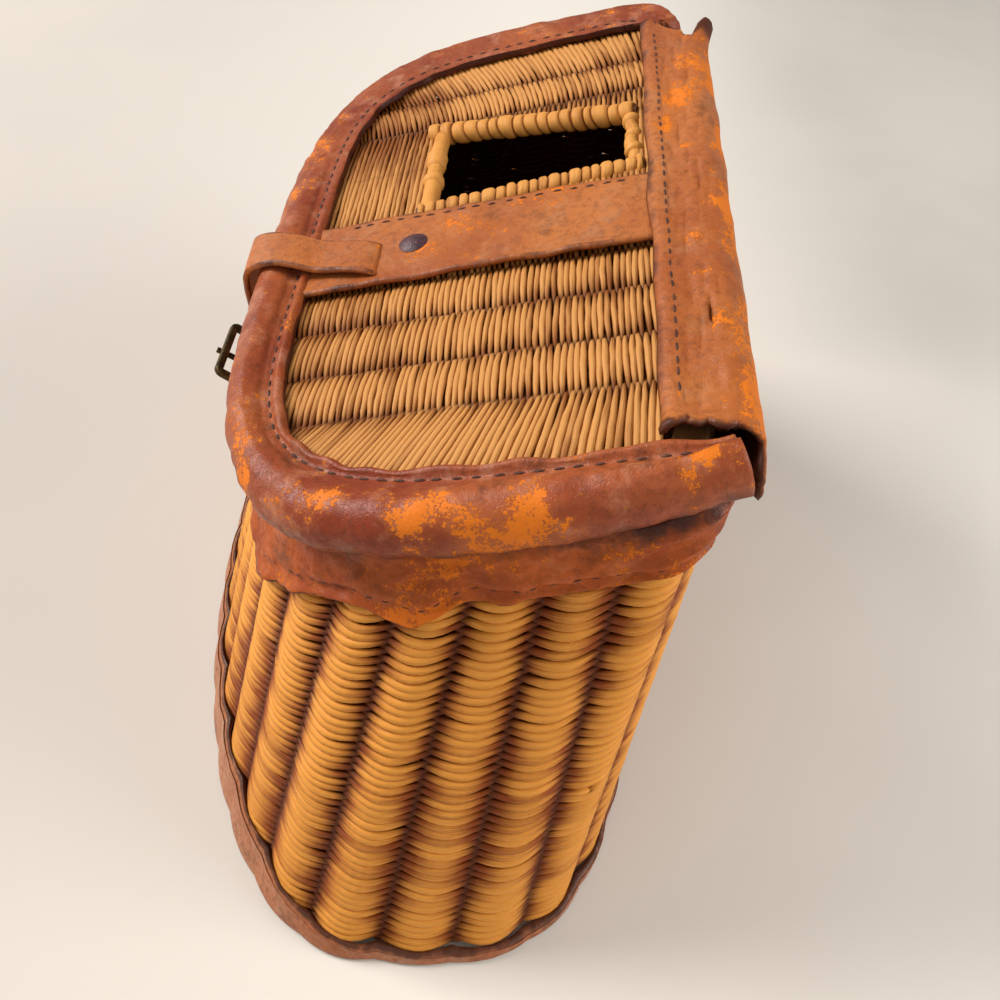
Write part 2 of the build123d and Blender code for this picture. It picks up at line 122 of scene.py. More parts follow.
def wallUpAt(share, out, height, lidHeight=None):
    # share of the wall's line at which it meets a level (height) or a plane beside the lid (lidHeight)
    low, high = wallPlace(share, out, 0.0), wallPlace(share, out, 1.0)
    if lidHeight is None:
        return (height - low[..., 2]) / (high[..., 2] - low[..., 2])
    origin = np.array([0, basketShape["hingeY"], basketShape["hingeHeight"]])
    return ((origin - low) @ lidUp + lidHeight) / ((high - low) @ lidUp)


# shape tools
def ramp(value, start, length):
    # 0 up to the start, rising evenly to 1 over the length
    return np.clip((value - start) / length, 0, 1)


def peak(value, middle, width):
    # a bell curve of height 1
    return np.exp(-((value - middle) / width) ** 2)


def softNoise(points, size, seed, stretched=(1, 1, 1)):
    # a sum of sine waves in many directions: smooth, seeded, about -1 to 1
    waves = 14
    maker = np.random.default_rng(seed)
    ways = maker.normal(size=(waves, 3))
    ways *= (2 * pi / size * maker.uniform(0.6, 1.5, waves) / np.linalg.norm(ways, axis=1))[:, None]
    starts = maker.uniform(0, 2 * pi, waves)
    return np.sin(points * np.array(stretched) @ ways.T + starts).sum(-1) / np.sqrt(waves) * 0.9


def gridFaces(rows, columns, closeRows=False, closeColumns=True):
    i = np.arange(rows if closeRows else rows - 1)
    j = np.arange(columns if closeColumns else columns - 1)
    ii, jj = np.meshgrid(i, j, indexing="ij")
    up, over = (ii + 1) % rows, (jj + 1) % columns
    corners = [ii * columns + jj, ii * columns + over, up * columns + over, up * columns + jj]
    return np.stack(corners, -1).reshape(-1, 4)


def sweptFaces(steps, around):
    # the sides of a closed profile carried over a number of steps, and one face on each end
    ends = [np.arange(around)[::-1][None], np.arange(around)[None] + (steps - 1) * around]
    return [gridFaces(steps, around), np.concatenate(ends)]


def perRing(values, around):
    # one value for each ring of a tube, given to all its points
    return np.repeat(values[..., None], around, -1)


def strandMap(length, around, shift=0.0):
    # length along the strand, and share of the way round it
    over = np.broadcast_to(np.arange(around) / around, length.shape + (around,))
    return np.stack([perRing(length, around), over + shift], -1)


def makePiece(name, points, faces, body, finish, extras=None, mapping=None):
    # points are millimetres; faces is a list of arrays, one for each number of corners,
    # and they are turned outward by the sign of the volume they enclose
    points = np.asarray(points, float).reshape(-1, 3) * 0.001
    volume = 0.0
    for group in faces:
        a = points[group[:, 0]]
        for k in range(1, group.shape[1] - 1):
            volume += np.einsum("ij,ij->i", a, np.cross(points[group[:, k]], points[group[:, k + 1]])).sum()
    if volume < 0:
        faces = [group[:, ::-1] for group in faces]
    mesh = bpy.data.meshes.new(name)
    corners = np.concatenate([group.reshape(-1) for group in faces]).astype(np.int32)
    sizes = np.concatenate([np.full(len(group), group.shape[1]) for group in faces])
    mesh.vertices.add(len(points))
    mesh.vertices.foreach_set("co", points.reshape(-1).astype(np.float32))
    mesh.loops.add(len(corners))
    mesh.loops.foreach_set("vertex_index", corners)
    mesh.polygons.add(len(sizes))
    mesh.polygons.foreach_set("loop_start", (np.cumsum(sizes) - sizes).astype(np.int32))
    mesh.polygons.foreach_set("loop_total", sizes.astype(np.int32))
    mesh.polygons.foreach_set("use_smooth", np.full(len(sizes), True))
    mesh.update(calc_edges=True)
    for label, values in (extras or {}).items():
        attribute = mesh.attributes.new(label, "FLOAT", "POINT")
        attribute.data.foreach_set("value", np.asarray(values, np.float32).reshape(-1))
    if mapping is not None:
        mapping = np.asarray(mapping, float).reshape(-1, 2)
        layer = mesh.uv_layers.new(name="strand")
        layer.data.foreach_set("uv", mapping[corners].reshape(-1).astype(np.float32))
    mesh.materials.append(finish)
    piece = bpy.data.objects.new(name, mesh)
    bpy.context.scene.collection.objects.link(piece)
    if body:
        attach(piece, body)
    return piece


def tubes(centres, sideA, sideB, halfA, halfB, around=8, power=1.0):
    # centres is (tubes, steps, 3): an oval ring at each step, its half widths along two sides,
    # power below 1 makes the oval squarer; each end is closed by one face
    turn = 2 * pi * np.arange(around) / around
    c, s = np.cos(turn), np.sin(turn)
    c, s = np.sign(c) * np.abs(c) ** power, np.sign(s) * np.abs(s) ** power
    rings = (
        centres[:, :, None]
        + (sideA * halfA[..., None])[:, :, None] * c[:, None]
        + (sideB * halfB[..., None])[:, :, None] * s[:, None]
    )
    count, steps = centres.shape[:2]
    one = gridFaces(steps, around)
    starts = (np.arange(count) * steps * around)[:, None, None]
    sides = (one[None] + starts).reshape(-1, 4)
    lowEnd = np.arange(around)[::-1][None] + starts[:, 0]
    highEnd = np.arange(around)[None] + (steps - 1) * around + starts[:, 0]
    return rings, [sides, np.concatenate([lowEnd, highEnd])]


def unit(a):
    return a / np.maximum(np.linalg.norm(a, axis=-1, keepdims=True), 1e-9)


def sheetNormals(middle):
    return unit(np.cross(np.gradient(middle, axis=0), np.gradient(middle, axis=1)))


def rimOrder(rows, columns):
    # the grid's border, once round
    return np.concatenate([
        np.arange(columns),
        np.arange(1, rows) * columns + columns - 1,
        (rows - 1) * columns + np.arange(columns - 2, -1, -1),
        np.arange(rows - 2, 0, -1) * columns,
    ])


def thickSheet(middle, thickness):
    # a sheet given by its middle surface on a grid: its faces lie half a thickness away on each side,
    # joined by an edge that bulges half a thickness
    rows, columns = middle.shape[:2]
    normals = sheetNormals(middle)
    half = np.broadcast_to(np.asarray(thickness, float) / 2, (rows, columns))[..., None]
    rim = rimOrder(rows, columns)
    top = (middle + normals * half).reshape(-1, 3)
    under = (middle - normals * half).reshape(-1, 3)
    ring = middle.reshape(-1, 3)[rim]
    inward = unit(np.roll(ring, -1, 0) - np.roll(ring, 1, 0))
    outward = np.cross(inward, normals.reshape(-1, 3)[rim])
    centre = middle.reshape(-1, 3).mean(0)
    if ((ring - centre) * outward).sum() < 0:
        outward = -outward
    edge = ring + outward * half.reshape(-1, 1)[rim]
    count = rows * columns
    faces = gridFaces(rows, columns, closeColumns=False)
    over = np.roll(np.arange(len(rim)), -1)
    middleEdge = 2 * count + np.arange(len(rim))
    topSide = np.stack([rim, rim[over], middleEdge[over], middleEdge], -1)
    underSide = np.stack([middleEdge, middleEdge[over], rim[over] + count, rim + count], -1)
    sheet = np.concatenate([top, under, edge])
    a, b = topSide[0, 0], topSide[0, 1]
    match = ((faces == a).any(1)) & ((faces == b).any(1))
    found = faces[match][0]
    place = int(np.where(found == a)[0][0])
    if found[(place + 1) % 4] == b:
        topSide, underSide = topSide[:, ::-1], underSide[:, ::-1]
    return sheet, [faces, faces[:, ::-1] + count, topSide, underSide]


def sheetValues(values, rimFill=None):
    # repeats values given on a sheet's grid for its two faces and its edge
    values = np.asarray(values, float)
    rows, columns = values.shape
    flat = values.reshape(-1)
    rim = rimOrder(rows, columns)
    edge = flat[rim] if rimFill is None else np.full(len(rim), rimFill)
    return np.concatenate([flat, flat, edge])


def throughFour(p0, p1, p2, p3, t):
    # the Catmull-Rom cubic from p1 (t 0) to p2 (t 1)
    second, third = 2 * p0 - 5 * p1 + 4 * p2 - p3, 3 * p1 - p0 - 3 * p2 + p3
    return 0.5 * (2 * p1 + (p2 - p0) * t + second * t ** 2 + third * t ** 3)


def smoothPath(points, steps):
    # a Catmull-Rom curve through a list of points, evenly divided by length
    points = np.asarray(points, float)
    padded = np.concatenate([[2 * points[0] - points[1]], points, [2 * points[-1] - points[-2]]])
    t = np.linspace(0, 1, 24, endpoint=False)[:, None]
    p0, p1, p2, p3 = (padded[k:len(padded) - 3 + k][:, None] for k in range(4))
    curve = throughFour(p0, p1, p2, p3, t)
    curve = np.concatenate([curve.reshape(-1, points.shape[1]), points[-1:]])
    run = np.concatenate([[0], np.cumsum(np.linalg.norm(np.diff(curve, axis=0), axis=1))])
    goal = np.linspace(0, run[-1], steps)
    return np.stack([np.interp(goal, run, curve[:, k]) for k in range(points.shape[1])], -1)


# finishes
def tint(code):
    # a colour written as six hexadecimal digits, made linear
    parts = np.array([int(code[k:k + 2], 16) for k in (0, 2, 4)]) / 255
    return tuple(np.where(parts <= 0.04045, parts / 12.92, ((parts + 0.055) / 1.055) ** 2.4)) + (1.0,)


def link(tree, source, goal):
    tree.links.new(source, goal)


def addNode(tree, kind, **values):
    node = tree.nodes.new(kind)
    for name, value in values.items():
        setattr(node, name, value)
    return node


def feed(tree, value, socket):
    # a socket's link if the value is another node's output, its own setting if it is a constant
    if hasattr(value, "node"):
        link(tree, value, socket)
    else:
        socket.default_value = value


def mixColours(tree, share, first, second):
    node = addNode(tree, "ShaderNodeMix", data_type="RGBA")
    for k, value in ((0, share), (6, first), (7, second)):
        feed(tree, value, node.inputs[k])
    return node.outputs[2]


def calculate(tree, operation, *values):
    node = addNode(tree, "ShaderNodeMath", operation=operation)
    for value, socket in zip(values, node.inputs):
        feed(tree, value, socket)
    return node.outputs[0]


def addScaled(tree, total, *parts):
    # the total with each value added to it times its weight
    for value, weight in parts:
        total = calculate(tree, "MULTIPLY_ADD", value, weight, total)
    return total


def stir(tree, total, value, amount):
    # the total moved both ways by a noise whose middle is a half
    return addScaled(tree, total, (calculate(tree, "SUBTRACT", value, 0.5), amount))


def stretch(tree, value, low, high, newLow=0.0, newHigh=1.0):
    node = addNode(tree, "ShaderNodeMapRange", interpolation_type="SMOOTHSTEP")
    link(tree, value, node.inputs[0])
    for k, number in enumerate((low, high, newLow, newHigh)):
        node.inputs[k + 1].default_value = number
    return node.outputs[0]


def noise(tree, coordinates, scale, detail=4.0, roughness=0.55):
    node = addNode(tree, "ShaderNodeTexNoise")
    node.inputs["Scale"].default_value = scale
    node.inputs["Detail"].default_value = detail
    node.inputs["Roughness"].default_value = roughness
    link(tree, coordinates, node.inputs["Vector"])
    return node.outputs["Fac"]


def readValue(tree, label):
    return addNode(tree, "ShaderNodeAttribute", attribute_name=label).outputs["Fac"]


def newGroup(name, inputs, outputs):
    tree = bpy.data.node_groups.new(name, "ShaderNodeTree")
    for label, kind in inputs:
        tree.interface.new_socket(label, in_out="INPUT", socket_type=kind)
    for label, kind in outputs:
        tree.interface.new_socket(label, in_out="OUTPUT", socket_type=kind)
    return tree, addNode(tree, "NodeGroupInput").outputs, addNode(tree, "NodeGroupOutput").inputs


colour, number, vector = "NodeSocketColor", "NodeSocketFloat", "NodeSocketVector"


def makeCaneGroup():
    # split cane: fibres along the strand, a tone for each strand, stains and dark specks, and painted shade
    # from Depth: paler where strands are raised, deeper and then near-black where they dive into the gaps
    tree, given, wanted = newGroup(
        "caneFibre",
        [("Pale", colour), ("Deep", colour), ("Gap Shade And Specks", colour),
         ("Tone", number), ("Depth", number), ("Stain Size", number)],
        [("Color", colour), ("Roughness", number), ("Height", number)],
    )
    along = addNode(tree, "ShaderNodeUVMap", uv_map="strand").outputs[0]
    fine = addNode(tree, "ShaderNodeMapping")
    fine.inputs["Scale"].default_value = (60, 9, 1)
    link(tree, along, fine.inputs["Vector"])
    fibres = noise(tree, fine.outputs[0], 1.0, 5.0, 0.65)
    patches = addNode(tree, "ShaderNodeMapping")
    patches.inputs["Scale"].default_value = (45, 1.2, 1)
    link(tree, along, patches.inputs["Vector"])
    blotches = noise(tree, patches.outputs[0], 1.0, 3.0, 0.6)
    place = addNode(tree, "ShaderNodeTexCoord").outputs["Object"]
    stainNode = addNode(tree, "ShaderNodeTexNoise")
    stainNode.inputs["Detail"].default_value = 5.0
    link(tree, place, stainNode.inputs["Vector"])
    link(tree, given["Stain Size"], stainNode.inputs["Scale"])
    stains = stretch(tree, stainNode.outputs["Fac"], 0.38, 0.68)
    # painted light and shade: a high Depth moves the colour towards pale on raised strands, a low one towards
    # deep where they dive
    share = addScaled(tree, -0.86, (fibres, 0.95), (given["Tone"], 0.5), (blotches, 0.5),
                      (stains, -0.3), (given["Depth"], 0.95))
    share = stretch(tree, share, 0.28, 0.98)
    body = mixColours(tree, share, given["Deep"], given["Pale"])
    # painted shade: near-black where Depth is low, in the gaps where strands dive; the dark specks below
    # share this colour
    gapShade = stretch(tree, given["Depth"], 0.62, 0.04, 0.0, 0.94)
    gapShade = calculate(tree, "MULTIPLY", gapShade, stretch(tree, fibres, 0.2, 0.75, 1.0, 0.72))
    specks = noise(tree, place, 900.0, 2.0)
    dark = stretch(tree, specks, 0.72, 0.8, 0.0, 0.45)
    body = mixColours(tree, calculate(tree, "MAXIMUM", gapShade, dark), body, given["Gap Shade And Specks"])
    link(tree, body, wanted["Color"])
    link(tree, stretch(tree, fibres, 0.25, 0.8, 0.62, 0.42), wanted["Roughness"])
    link(tree, addScaled(tree, fibres, (blotches, 0.5)), wanted["Height"])
    return tree


def makeHideGroup():
    # old leather: mottled body, pale bloom, dark stains, scuffs through to raw hide on the worn parts,
    # the edge colour for dark cut edges and for painted shade where a piece asks for it, faint pores and
    # creases
    tree, given, wanted = newGroup(
        "oldHide",
        [("Body", colour), ("Second", colour), ("Bloom", colour), ("Raw", colour), ("Edge", colour),
         ("Wear", number), ("Edge And Shade", number)],
        [("Color", colour), ("Roughness", number), ("Height", number)],
    )
    place = addNode(tree, "ShaderNodeTexCoord").outputs["Object"]
    broad = noise(tree, place, 26.0, 5.0, 0.6)
    middle = noise(tree, place, 95.0, 5.0, 0.65)
    fine = noise(tree, place, 420.0, 4.0, 0.7)
    finest = noise(tree, place, 1100.0, 3.0, 0.7)
    pores = addNode(tree, "ShaderNodeTexVoronoi", feature="DISTANCE_TO_EDGE")
    pores.inputs["Scale"].default_value = 780.0
    link(tree, place, pores.inputs["Vector"])
    creaseFlow = addNode(tree, "ShaderNodeTexVoronoi", feature="DISTANCE_TO_EDGE")
    creaseFlow.inputs["Scale"].default_value = 330.0
    warped = addNode(tree, "ShaderNodeVectorMath", operation="ADD")
    shift = addNode(tree, "ShaderNodeTexNoise")
    shift.inputs["Scale"].default_value = 120.0
    link(tree, place, shift.inputs["Vector"])
    shrink = addNode(tree, "ShaderNodeVectorMath", operation="SCALE")
    shrink.inputs["Scale"].default_value = 0.008
    link(tree, shift.outputs["Color"], shrink.inputs[0])
    link(tree, place, warped.inputs[0])
    link(tree, shrink.outputs[0], warped.inputs[1])
    link(tree, warped.outputs[0], creaseFlow.inputs["Vector"])
    body = mixColours(tree, stretch(tree, broad, 0.35, 0.65), given["Body"], given["Second"])
    body = mixColours(tree, stretch(tree, middle, 0.48, 0.72, 0.0, 0.6), body, given["Bloom"])
    body = mixColours(tree, stretch(tree, fine, 0.42, 0.72, 0.0, 0.42), body, given["Edge"])
    stained = noise(tree, place, 52.0, 6.0, 0.7)
    body = mixColours(tree, stretch(tree, stained, 0.54, 0.7, 0.0, 0.5), body, given["Edge"])
    wear = stir(tree, stir(tree, given["Wear"], middle, 2.2), fine, 1.9)
    halo = stretch(tree, wear, 0.2, 0.75, 0.0, 0.22)
    wear = stretch(tree, stir(tree, wear, finest, 1.7), 0.64, 0.74)
    body = mixColours(tree, halo, body, given["Raw"])
    body = mixColours(tree, wear, body, given["Raw"])
    creases = stretch(tree, creaseFlow.outputs["Distance"], 0.0, 0.04, 1.0, 0.0)
    creases = calculate(tree, "MULTIPLY", creases, stretch(tree, broad, 0.52, 0.75))
    body = mixColours(tree, calculate(tree, "MULTIPLY", creases, 0.08), body, given["Edge"])
    # dark cut edges and painted shade, both in the edge colour
    rim = stir(tree, given["Edge And Shade"], middle, 1.2)
    body = mixColours(tree, stretch(tree, rim, 0.35, 0.8, 0.0, 0.9), body, given["Edge"])
    link(tree, body, wanted["Color"])
    rough = addScaled(tree, stretch(tree, fine, 0.3, 0.7, 0.33, 0.52), (wear, 0.22))
    link(tree, rough, wanted["Roughness"])
    pits = stretch(tree, pores.outputs["Distance"], 0.0, 0.12, -0.05, 0.0)
    height = addScaled(tree, pits, (middle, 0.6), (fine, 0.4), (creases, -0.02), (wear, -0.2))
    link(tree, height, wanted["Height"])
    return tree


caneGroup = makeCaneGroup()
hideGroup = makeHideGroup()


def newFinish(name, metallic=0.0, specular=0.5):
    finish = bpy.data.materials.new(name)
    finish.use_nodes = True
    shader = finish.node_tree.nodes["Principled BSDF"]
    shader.inputs["IOR"].default_value = 1.45
    shader.inputs["Metallic"].default_value = metallic
    shader.inputs["Specular IOR Level"].default_value = specular
    return finish, finish.node_tree, shader


def raiseSurface(tree, height, shader, distance):
    bump = addNode(tree, "ShaderNodeBump")
    bump.inputs["Distance"].default_value = distance
    link(tree, height, bump.inputs["Height"])
    link(tree, bump.outputs["Normal"], shader.inputs["Normal"])


def placeGroup(tree, group, shader, values, bumpDistance):
    # the group's colour, roughness and height go to the shader, the height by way of a bump
    node = addNode(tree, "ShaderNodeGroup", node_tree=group)
    for label, value in values.items():
        feed(tree, value, node.inputs[label])
    raiseSurface(tree, node.outputs["Height"], shader, bumpDistance)
    link(tree, node.outputs["Color"], shader.inputs["Base Color"])
    link(tree, node.outputs["Roughness"], shader.inputs["Roughness"])


# pale and deep colours, the near-black of the painted shade in the gaps and of dark specks, and how fine the
# stains are
caneColours = {
    "wallCane": ("d68e37", "863b06", "1f0902", 14.0),
    "lidCane": ("c28748", "824818", "2a1306", 18.0),
    "wrapCane": ("cc8c42", "8a4a12", "3a1805", 30.0),
}


def makeCane(name):
    pale, deep, gapShade, stains = caneColours[name]
    finish, tree, shader = newFinish(name, specular=0.28)
    placeGroup(tree, caneGroup, shader, {
        "Pale": tint(pale), "Deep": tint(deep), "Gap Shade And Specks": tint(gapShade),
        "Tone": readValue(tree, "tone"), "Depth": readValue(tree, "depth"), "Stain Size": stains,
    }, 0.0003)
    return finish


# body, second, bloom, raw hide, and edge colour for cut edges and painted shade
hideColours = {
    "rimHide": ("7f3318", "9e5028", "b07a60", "d06c0c", "2f0d06"),
    "bandHide": ("833009", "aa4f14", "a25c38", "c9640a", "2a0a04"),
    "strapHide": ("9a5024", "b26832", "a5704c", "cf6c0c", "3a140a"),
    "footHide": ("9c5a38", "ab6f4c", "a58068", "b0632a", "38190e"),
}


def makeHide(name):
    body, second, bloom, raw, edge = hideColours[name]
    finish, tree, shader = newFinish(name, specular=0.3)
    placeGroup(tree, hideGroup, shader, {
        "Body": tint(body), "Second": tint(second), "Bloom": tint(bloom),
        "Raw": tint(raw), "Edge": tint(edge),
        "Wear": readValue(tree, "wear"), "Edge And Shade": readValue(tree, "rim"),
    }, 0.0007)
    return finish


def makePlain(name, first, second, scale, roughLow, roughHigh,
              metallic=0.0, bumpDistance=0.0002, third=None):
    # a mottled finish for small metal and thread parts
    finish, tree, shader = newFinish(name, metallic=metallic)
    place = addNode(tree, "ShaderNodeTexCoord").outputs["Object"]
    broad = noise(tree, place, scale, 5.0)
    fine = noise(tree, place, scale * 6, 3.0)
    body = mixColours(tree, stretch(tree, broad, 0.35, 0.65), tint(first), tint(second))
    if third:
        body = mixColours(tree, stretch(tree, fine, 0.55, 0.7, 0.0, 0.8), body, tint(third))
    link(tree, body, shader.inputs["Base Color"])
    link(tree, stretch(tree, fine, 0.3, 0.7, roughLow, roughHigh), shader.inputs["Roughness"])
    raiseSurface(tree, fine, shader, bumpDistance)
    return finish


wallCane, lidCane, wrapCane = makeCane("wallCane"), makeCane("lidCane"), makeCane("wrapCane")
rimHide, bandHide, strapHide, footHide = (makeHide(name) for name in hideColours)
threadFinish = makePlain("waxedThread", "3a1a10", "56301f", 300.0, 0.6, 0.85)
brassFinish = makePlain("tarnishedBrass", "4c3b1d", "2b2413", 220.0, 0.38, 0.62, 0.75, 0.00015, "6b5326")
rivetFinish = makePlain("darkRivet", "4b2a30", "38202a", 260.0, 0.38, 0.55, 0.2, 0.0002, "6b4238")
rodFinish = makePlain("bareRod", "74491f", "553515", 90.0, 0.55, 0.75)
print("finishes made")


# woven wall: one strand winds round and round, in front of one stake and behind the next
wallWeave = {
    "rows": 96,
    "stepsPerStake": 8,
    "around": 8,
    "swing": 3.4,          # from the middle of the wall to the middle of the strand, over a stake
    "halfThick": 1.12,
    "halfTallAtGap": 1.1,
    "halfTallAtStake": 1.76,
    "meanHeight": 165.0,   # the wall's height at which the half heights hold
    "lowUp": 0.028,
    "highUp": 0.985,
    "wander": 0.42,
    "stakeStep": 23.0,     # length of strand from one stake to the next
    "strandStakes": 11.6,  # stakes passed before the next strand takes over
    "pieces": ("wovenWallLow", "wovenWallMiddle", "wovenWallHigh"),
}


def makeWovenWall():
    # strand place = wall place at (turns round, up), moved out by a flattened sine
    # that swings once every two stakes
    s = wallWeave
    stakes = basketShape["stakes"]
    total = s["rows"] * stakes
    maker = np.random.default_rng(5)
    toneOf = maker.uniform(0, 1, s["rows"] * 3 + 2)
    thickOf = maker.uniform(0.88, 1.1, s["rows"] * 3 + 2)
    bounds = np.linspace(0, total, len(s["pieces"]) + 1).astype(int)
    pieces = []
    for k, name in enumerate(s["pieces"]):
        t = np.linspace(bounds[k], bounds[k + 1], (bounds[k + 1] - bounds[k]) * s["stepsPerStake"] + 1)
        share = t / stakes
        wave = np.sin(pi * t)
        lobe = np.abs(wave) ** 1.08
        out = s["swing"] * np.sign(wave) * lobe
        row = np.minimum(t / total, 1.0)
        length = t * s["stakeStep"]
        flat = gather(length * 0.05, 0, 0)
        bend = softNoise(flat, 2.3, 11) * s["wander"] + softNoise(flat, 0.6, 12) * 0.1
        centre = wallPlace(share, out, s["lowUp"] + (s["highUp"] - s["lowUp"]) * row)
        ahead = wallPlace(share + 0.0004, out, s["lowUp"] + (s["highUp"] - s["lowUp"]) * row)
        upward = unit(wallPlace(share, out, row + 0.01) - centre)
        outward = unit(np.cross(unit(ahead - centre), upward))
        wayOut = wallPlace(share, out + 1.0, 0.5) - wallPlace(share, out, 0.5)
        outward *= np.sign((wayOut * outward).sum(-1))[:, None]
        centre = centre + upward * bend[:, None]
        span = (t / s["strandStakes"]).astype(int) % len(toneOf)
        gain = s["halfTallAtStake"] - s["halfTallAtGap"]
        tall = (s["halfTallAtGap"] + gain * lobe ** 1.4) * thickOf[span]
        heightHere = np.linalg.norm(wallPlace(share, 0.0, 1.0) - wallPlace(share, 0.0, 0.0), axis=-1)
        tall = tall * heightHere / s["meanHeight"]
        thick = np.full_like(tall, s["halfThick"]) * (1 + 0.08 * softNoise(flat + 3, 1.3, 14))
        around = s["around"]
        rings, faces = tubes(centre[None], outward[None], upward[None],
                             thick[None], tall[None], around, 0.85)
        tone = 0.55 + 0.14 * softNoise(flat, 5.0, 15) + (toneOf[span] - 0.5) * 0.6
        tone = perRing(np.clip(tone, 0, 1), around)
        # depth: low where a strand dives behind a stake and on its inner side; it gives painted shade in the
        # recesses of the weave, and on the inner side it also stands for the stained inside of the basket
        turn = 2 * pi * np.arange(around) / around
        facing = (out / s["swing"])[:, None] * 0.75 + np.cos(turn) * 0.5
        depth = (0.2 + 0.8 * lobe[:, None] ** 0.9) * np.clip(0.62 + facing, 0, 1)
        mapping = strandMap(length * 0.001, around, span[:, None] * 0.37)
        pieces.append(makePiece(name, rings, faces, "basket", wallCane,
                                {"tone": tone, "depth": depth}, mapping))
    return pieces


wovenWall = makeWovenWall()
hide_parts("wall_weave")
print("wall woven", sum(len(p.data.polygons) for p in wovenWall))


# lid strands: they run along X over stakes that run to the front
lidWeave = {
    "pitch": 0.94,
    "swing": 1.75,
    "halfThick": 1.02,
    "halfWideAtGap": 0.56,
    "halfWideAtStake": 1.0,
    "crossings": (-122.0, -93.5, -72.5, 6.0, 27.5, 46.5, 68.0, 88.0, 122.0),
    "outline": (122.0, 118.0, 4.9, 4.6),
    "holeNear": ((-17.8, 5.0), (-11.8, 82.5)),
    "holeFar": ((-53.2, 6.0), (-66.2, 83.5)),
    "holeRange": (4.6, 79.5),
    "meetingX": -40.0,     # where the two halves of a row meet, in front of the hole and behind it
    "middleHeight": -3.0,
    "steps": 64,
    "around": 6,
}


def lidWeaveLean(x, forward):
    # how far a strand has drifted forward at x: none in the straight bands, more towards the lid's ends
    near = np.clip((x - 88.0) / 28.0, 0, 1.3) ** 1.15
    near = near * np.interp(forward, [0, 12, 60, 100, 120], [0.5, 2, 13, 19, 20])
    far = np.clip((-72.0 - x) / 44.0, 0, 1.3) ** 1.5 * np.interp(forward, [0, 15, 60, 100], [5, 9, 15, 17])
    middle = np.interp(x, [28, 46, 68, 88], [0, 0, 1.0, 2.0]) * np.interp(forward, [10, 110], [-0.4, 1.2])
    return near + far + middle


def makeLidStrands(name):
    # each strand's line: x from one end to the other, forward = its own row + lean,
    # height = a flattened sine that swings once every two crossings
    s = lidWeave
    maker = np.random.default_rng(21)
    halfX, front, powerX, powerF = s["outline"]
    rows = np.arange(-22.0, front + 1.0, s["pitch"])
    parity = np.where(np.arange(len(rows)) % 2 == 0, 1.0, -1.0)
    tones = maker.uniform(0, 1, len(rows))
    inRange = (rows > s["holeRange"][0]) & (rows < s["holeRange"][1])

    def sideAt(line, forward):
        (xa, fa), (xb, fb) = line
        return xa + (forward - fa) / (fb - fa) * (xb - xa)

    reach = np.full_like(rows, halfX)
    u = np.linspace(0, 1, s["steps"])
    isNear = name.endswith("Near")
    meeting = np.where(inRange, sideAt(s["holeNear" if isNear else "holeFar"], rows), s["meetingX"])
    a, b = (meeting, reach) if isNear else (-reach, meeting)
    x = a[:, None] + (b - a)[:, None] * u
    forward = rows[:, None] + lidWeaveLean(x, rows[:, None])
    limit = np.where(forward < 2.0, 109.0, halfX)
    inside = (np.abs(x) / limit) ** powerX + (np.abs(np.maximum(forward, 0)) / front) ** powerF < 1
    if isNear:
        last = np.where(inside, x, -1e9).max(1)
        keep = last > a + 4
        b = np.maximum(last, a + 1)
    else:
        first = np.where(inside, x, 1e9).min(1)
        keep = first < b - 4
        a = np.minimum(first, b - 1)
    keep &= inside.any(1) & (rows > -17.0)
    a, b, rows, parity, tones = a[keep], b[keep], rows[keep], parity[keep], tones[keep]
    x = a[:, None] + (b - a)[:, None] * u
    forward = rows[:, None] + lidWeaveLean(x, rows[:, None])
    spread = np.clip(np.gradient(forward, axis=0) / s["pitch"], 1.0, 1.6)
    phase = np.interp(x, s["crossings"], np.arange(len(s["crossings"])))
    wave = np.sin(pi * phase) * parity[:, None]
    lobe = np.abs(wave) ** 0.5
    height = s["middleHeight"] + s["swing"] * np.sign(wave) * lobe
    along = gather(x, rows[:, None] * 7, 0)
    forward = forward + 0.22 * softNoise(along, 34, 31) + 0.1 * softNoise(along, 9, 32)
    height = height + 0.16 * softNoise(along, 18, 33)
    centre = lidPlace(x, forward, height)
    ahead = unit(np.gradient(centre, axis=1))
    square = np.broadcast_to(lidUp, centre.shape)
    across = unit(np.cross(square, ahead))
    upright = unit(np.cross(ahead, across))
    wide = s["halfWideAtGap"] + (s["halfWideAtStake"] - s["halfWideAtGap"]) * lobe ** 1.5
    wide = wide * (0.92 + 0.2 * tones[:, None]) * spread
    thick = np.full_like(wide, s["halfThick"]) * (1 + 0.1 * softNoise(along, 25, 35))
    around = s["around"]
    rings, faces = tubes(centre, across, upright, wide, thick, around, 0.85)
    # depth: high where a strand passes over a stake, low where it dives, for painted shade in the weave
    top = np.where(wave > 0, lobe, 0.0)
    tone = tones[:, None] * 0.85 + 0.2 + 0.25 * softNoise(along, 40, 36)
    atFront, atFarEnd = ramp(forward, 78, 30), ramp(-x, 60, 40)
    tone = np.clip(tone - 0.9 * atFront - 0.25 * atFarEnd, 0, 1)
    mapping = strandMap(x * 0.001 + rows[:, None] * 0.31, around, rows[:, None, None])
    extras = {"tone": perRing(tone, around), "depth": perRing(0.25 + 0.75 * top, around)}
    return makePiece(name, rings, faces, "lid", lidCane, extras, mapping)


lidNear = makeLidStrands("lidStrandsNear")
lidFar = makeLidStrands("lidStrandsFar")
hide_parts("lid_weave")
print("lid woven", len(lidNear.data.polygons), len(lidFar.data.polygons))


# fish hole: side canes wrapped turn by turn, bare canes front and back
holeEdge = {
    "near": {"start": (-17.8, 4.2), "end": (-11.8, 82.9),
             "turns": 21, "radius": 3.9, "lean": 0.12, "seed": 3},
    "far": {"start": (-53.2, 5.2), "end": (-66.2, 84.0),
            "turns": 17, "radius": 4.3, "lean": -0.1, "seed": 4},
    "height": -1.7,
    "steps": 360,
    "around": 28,
}


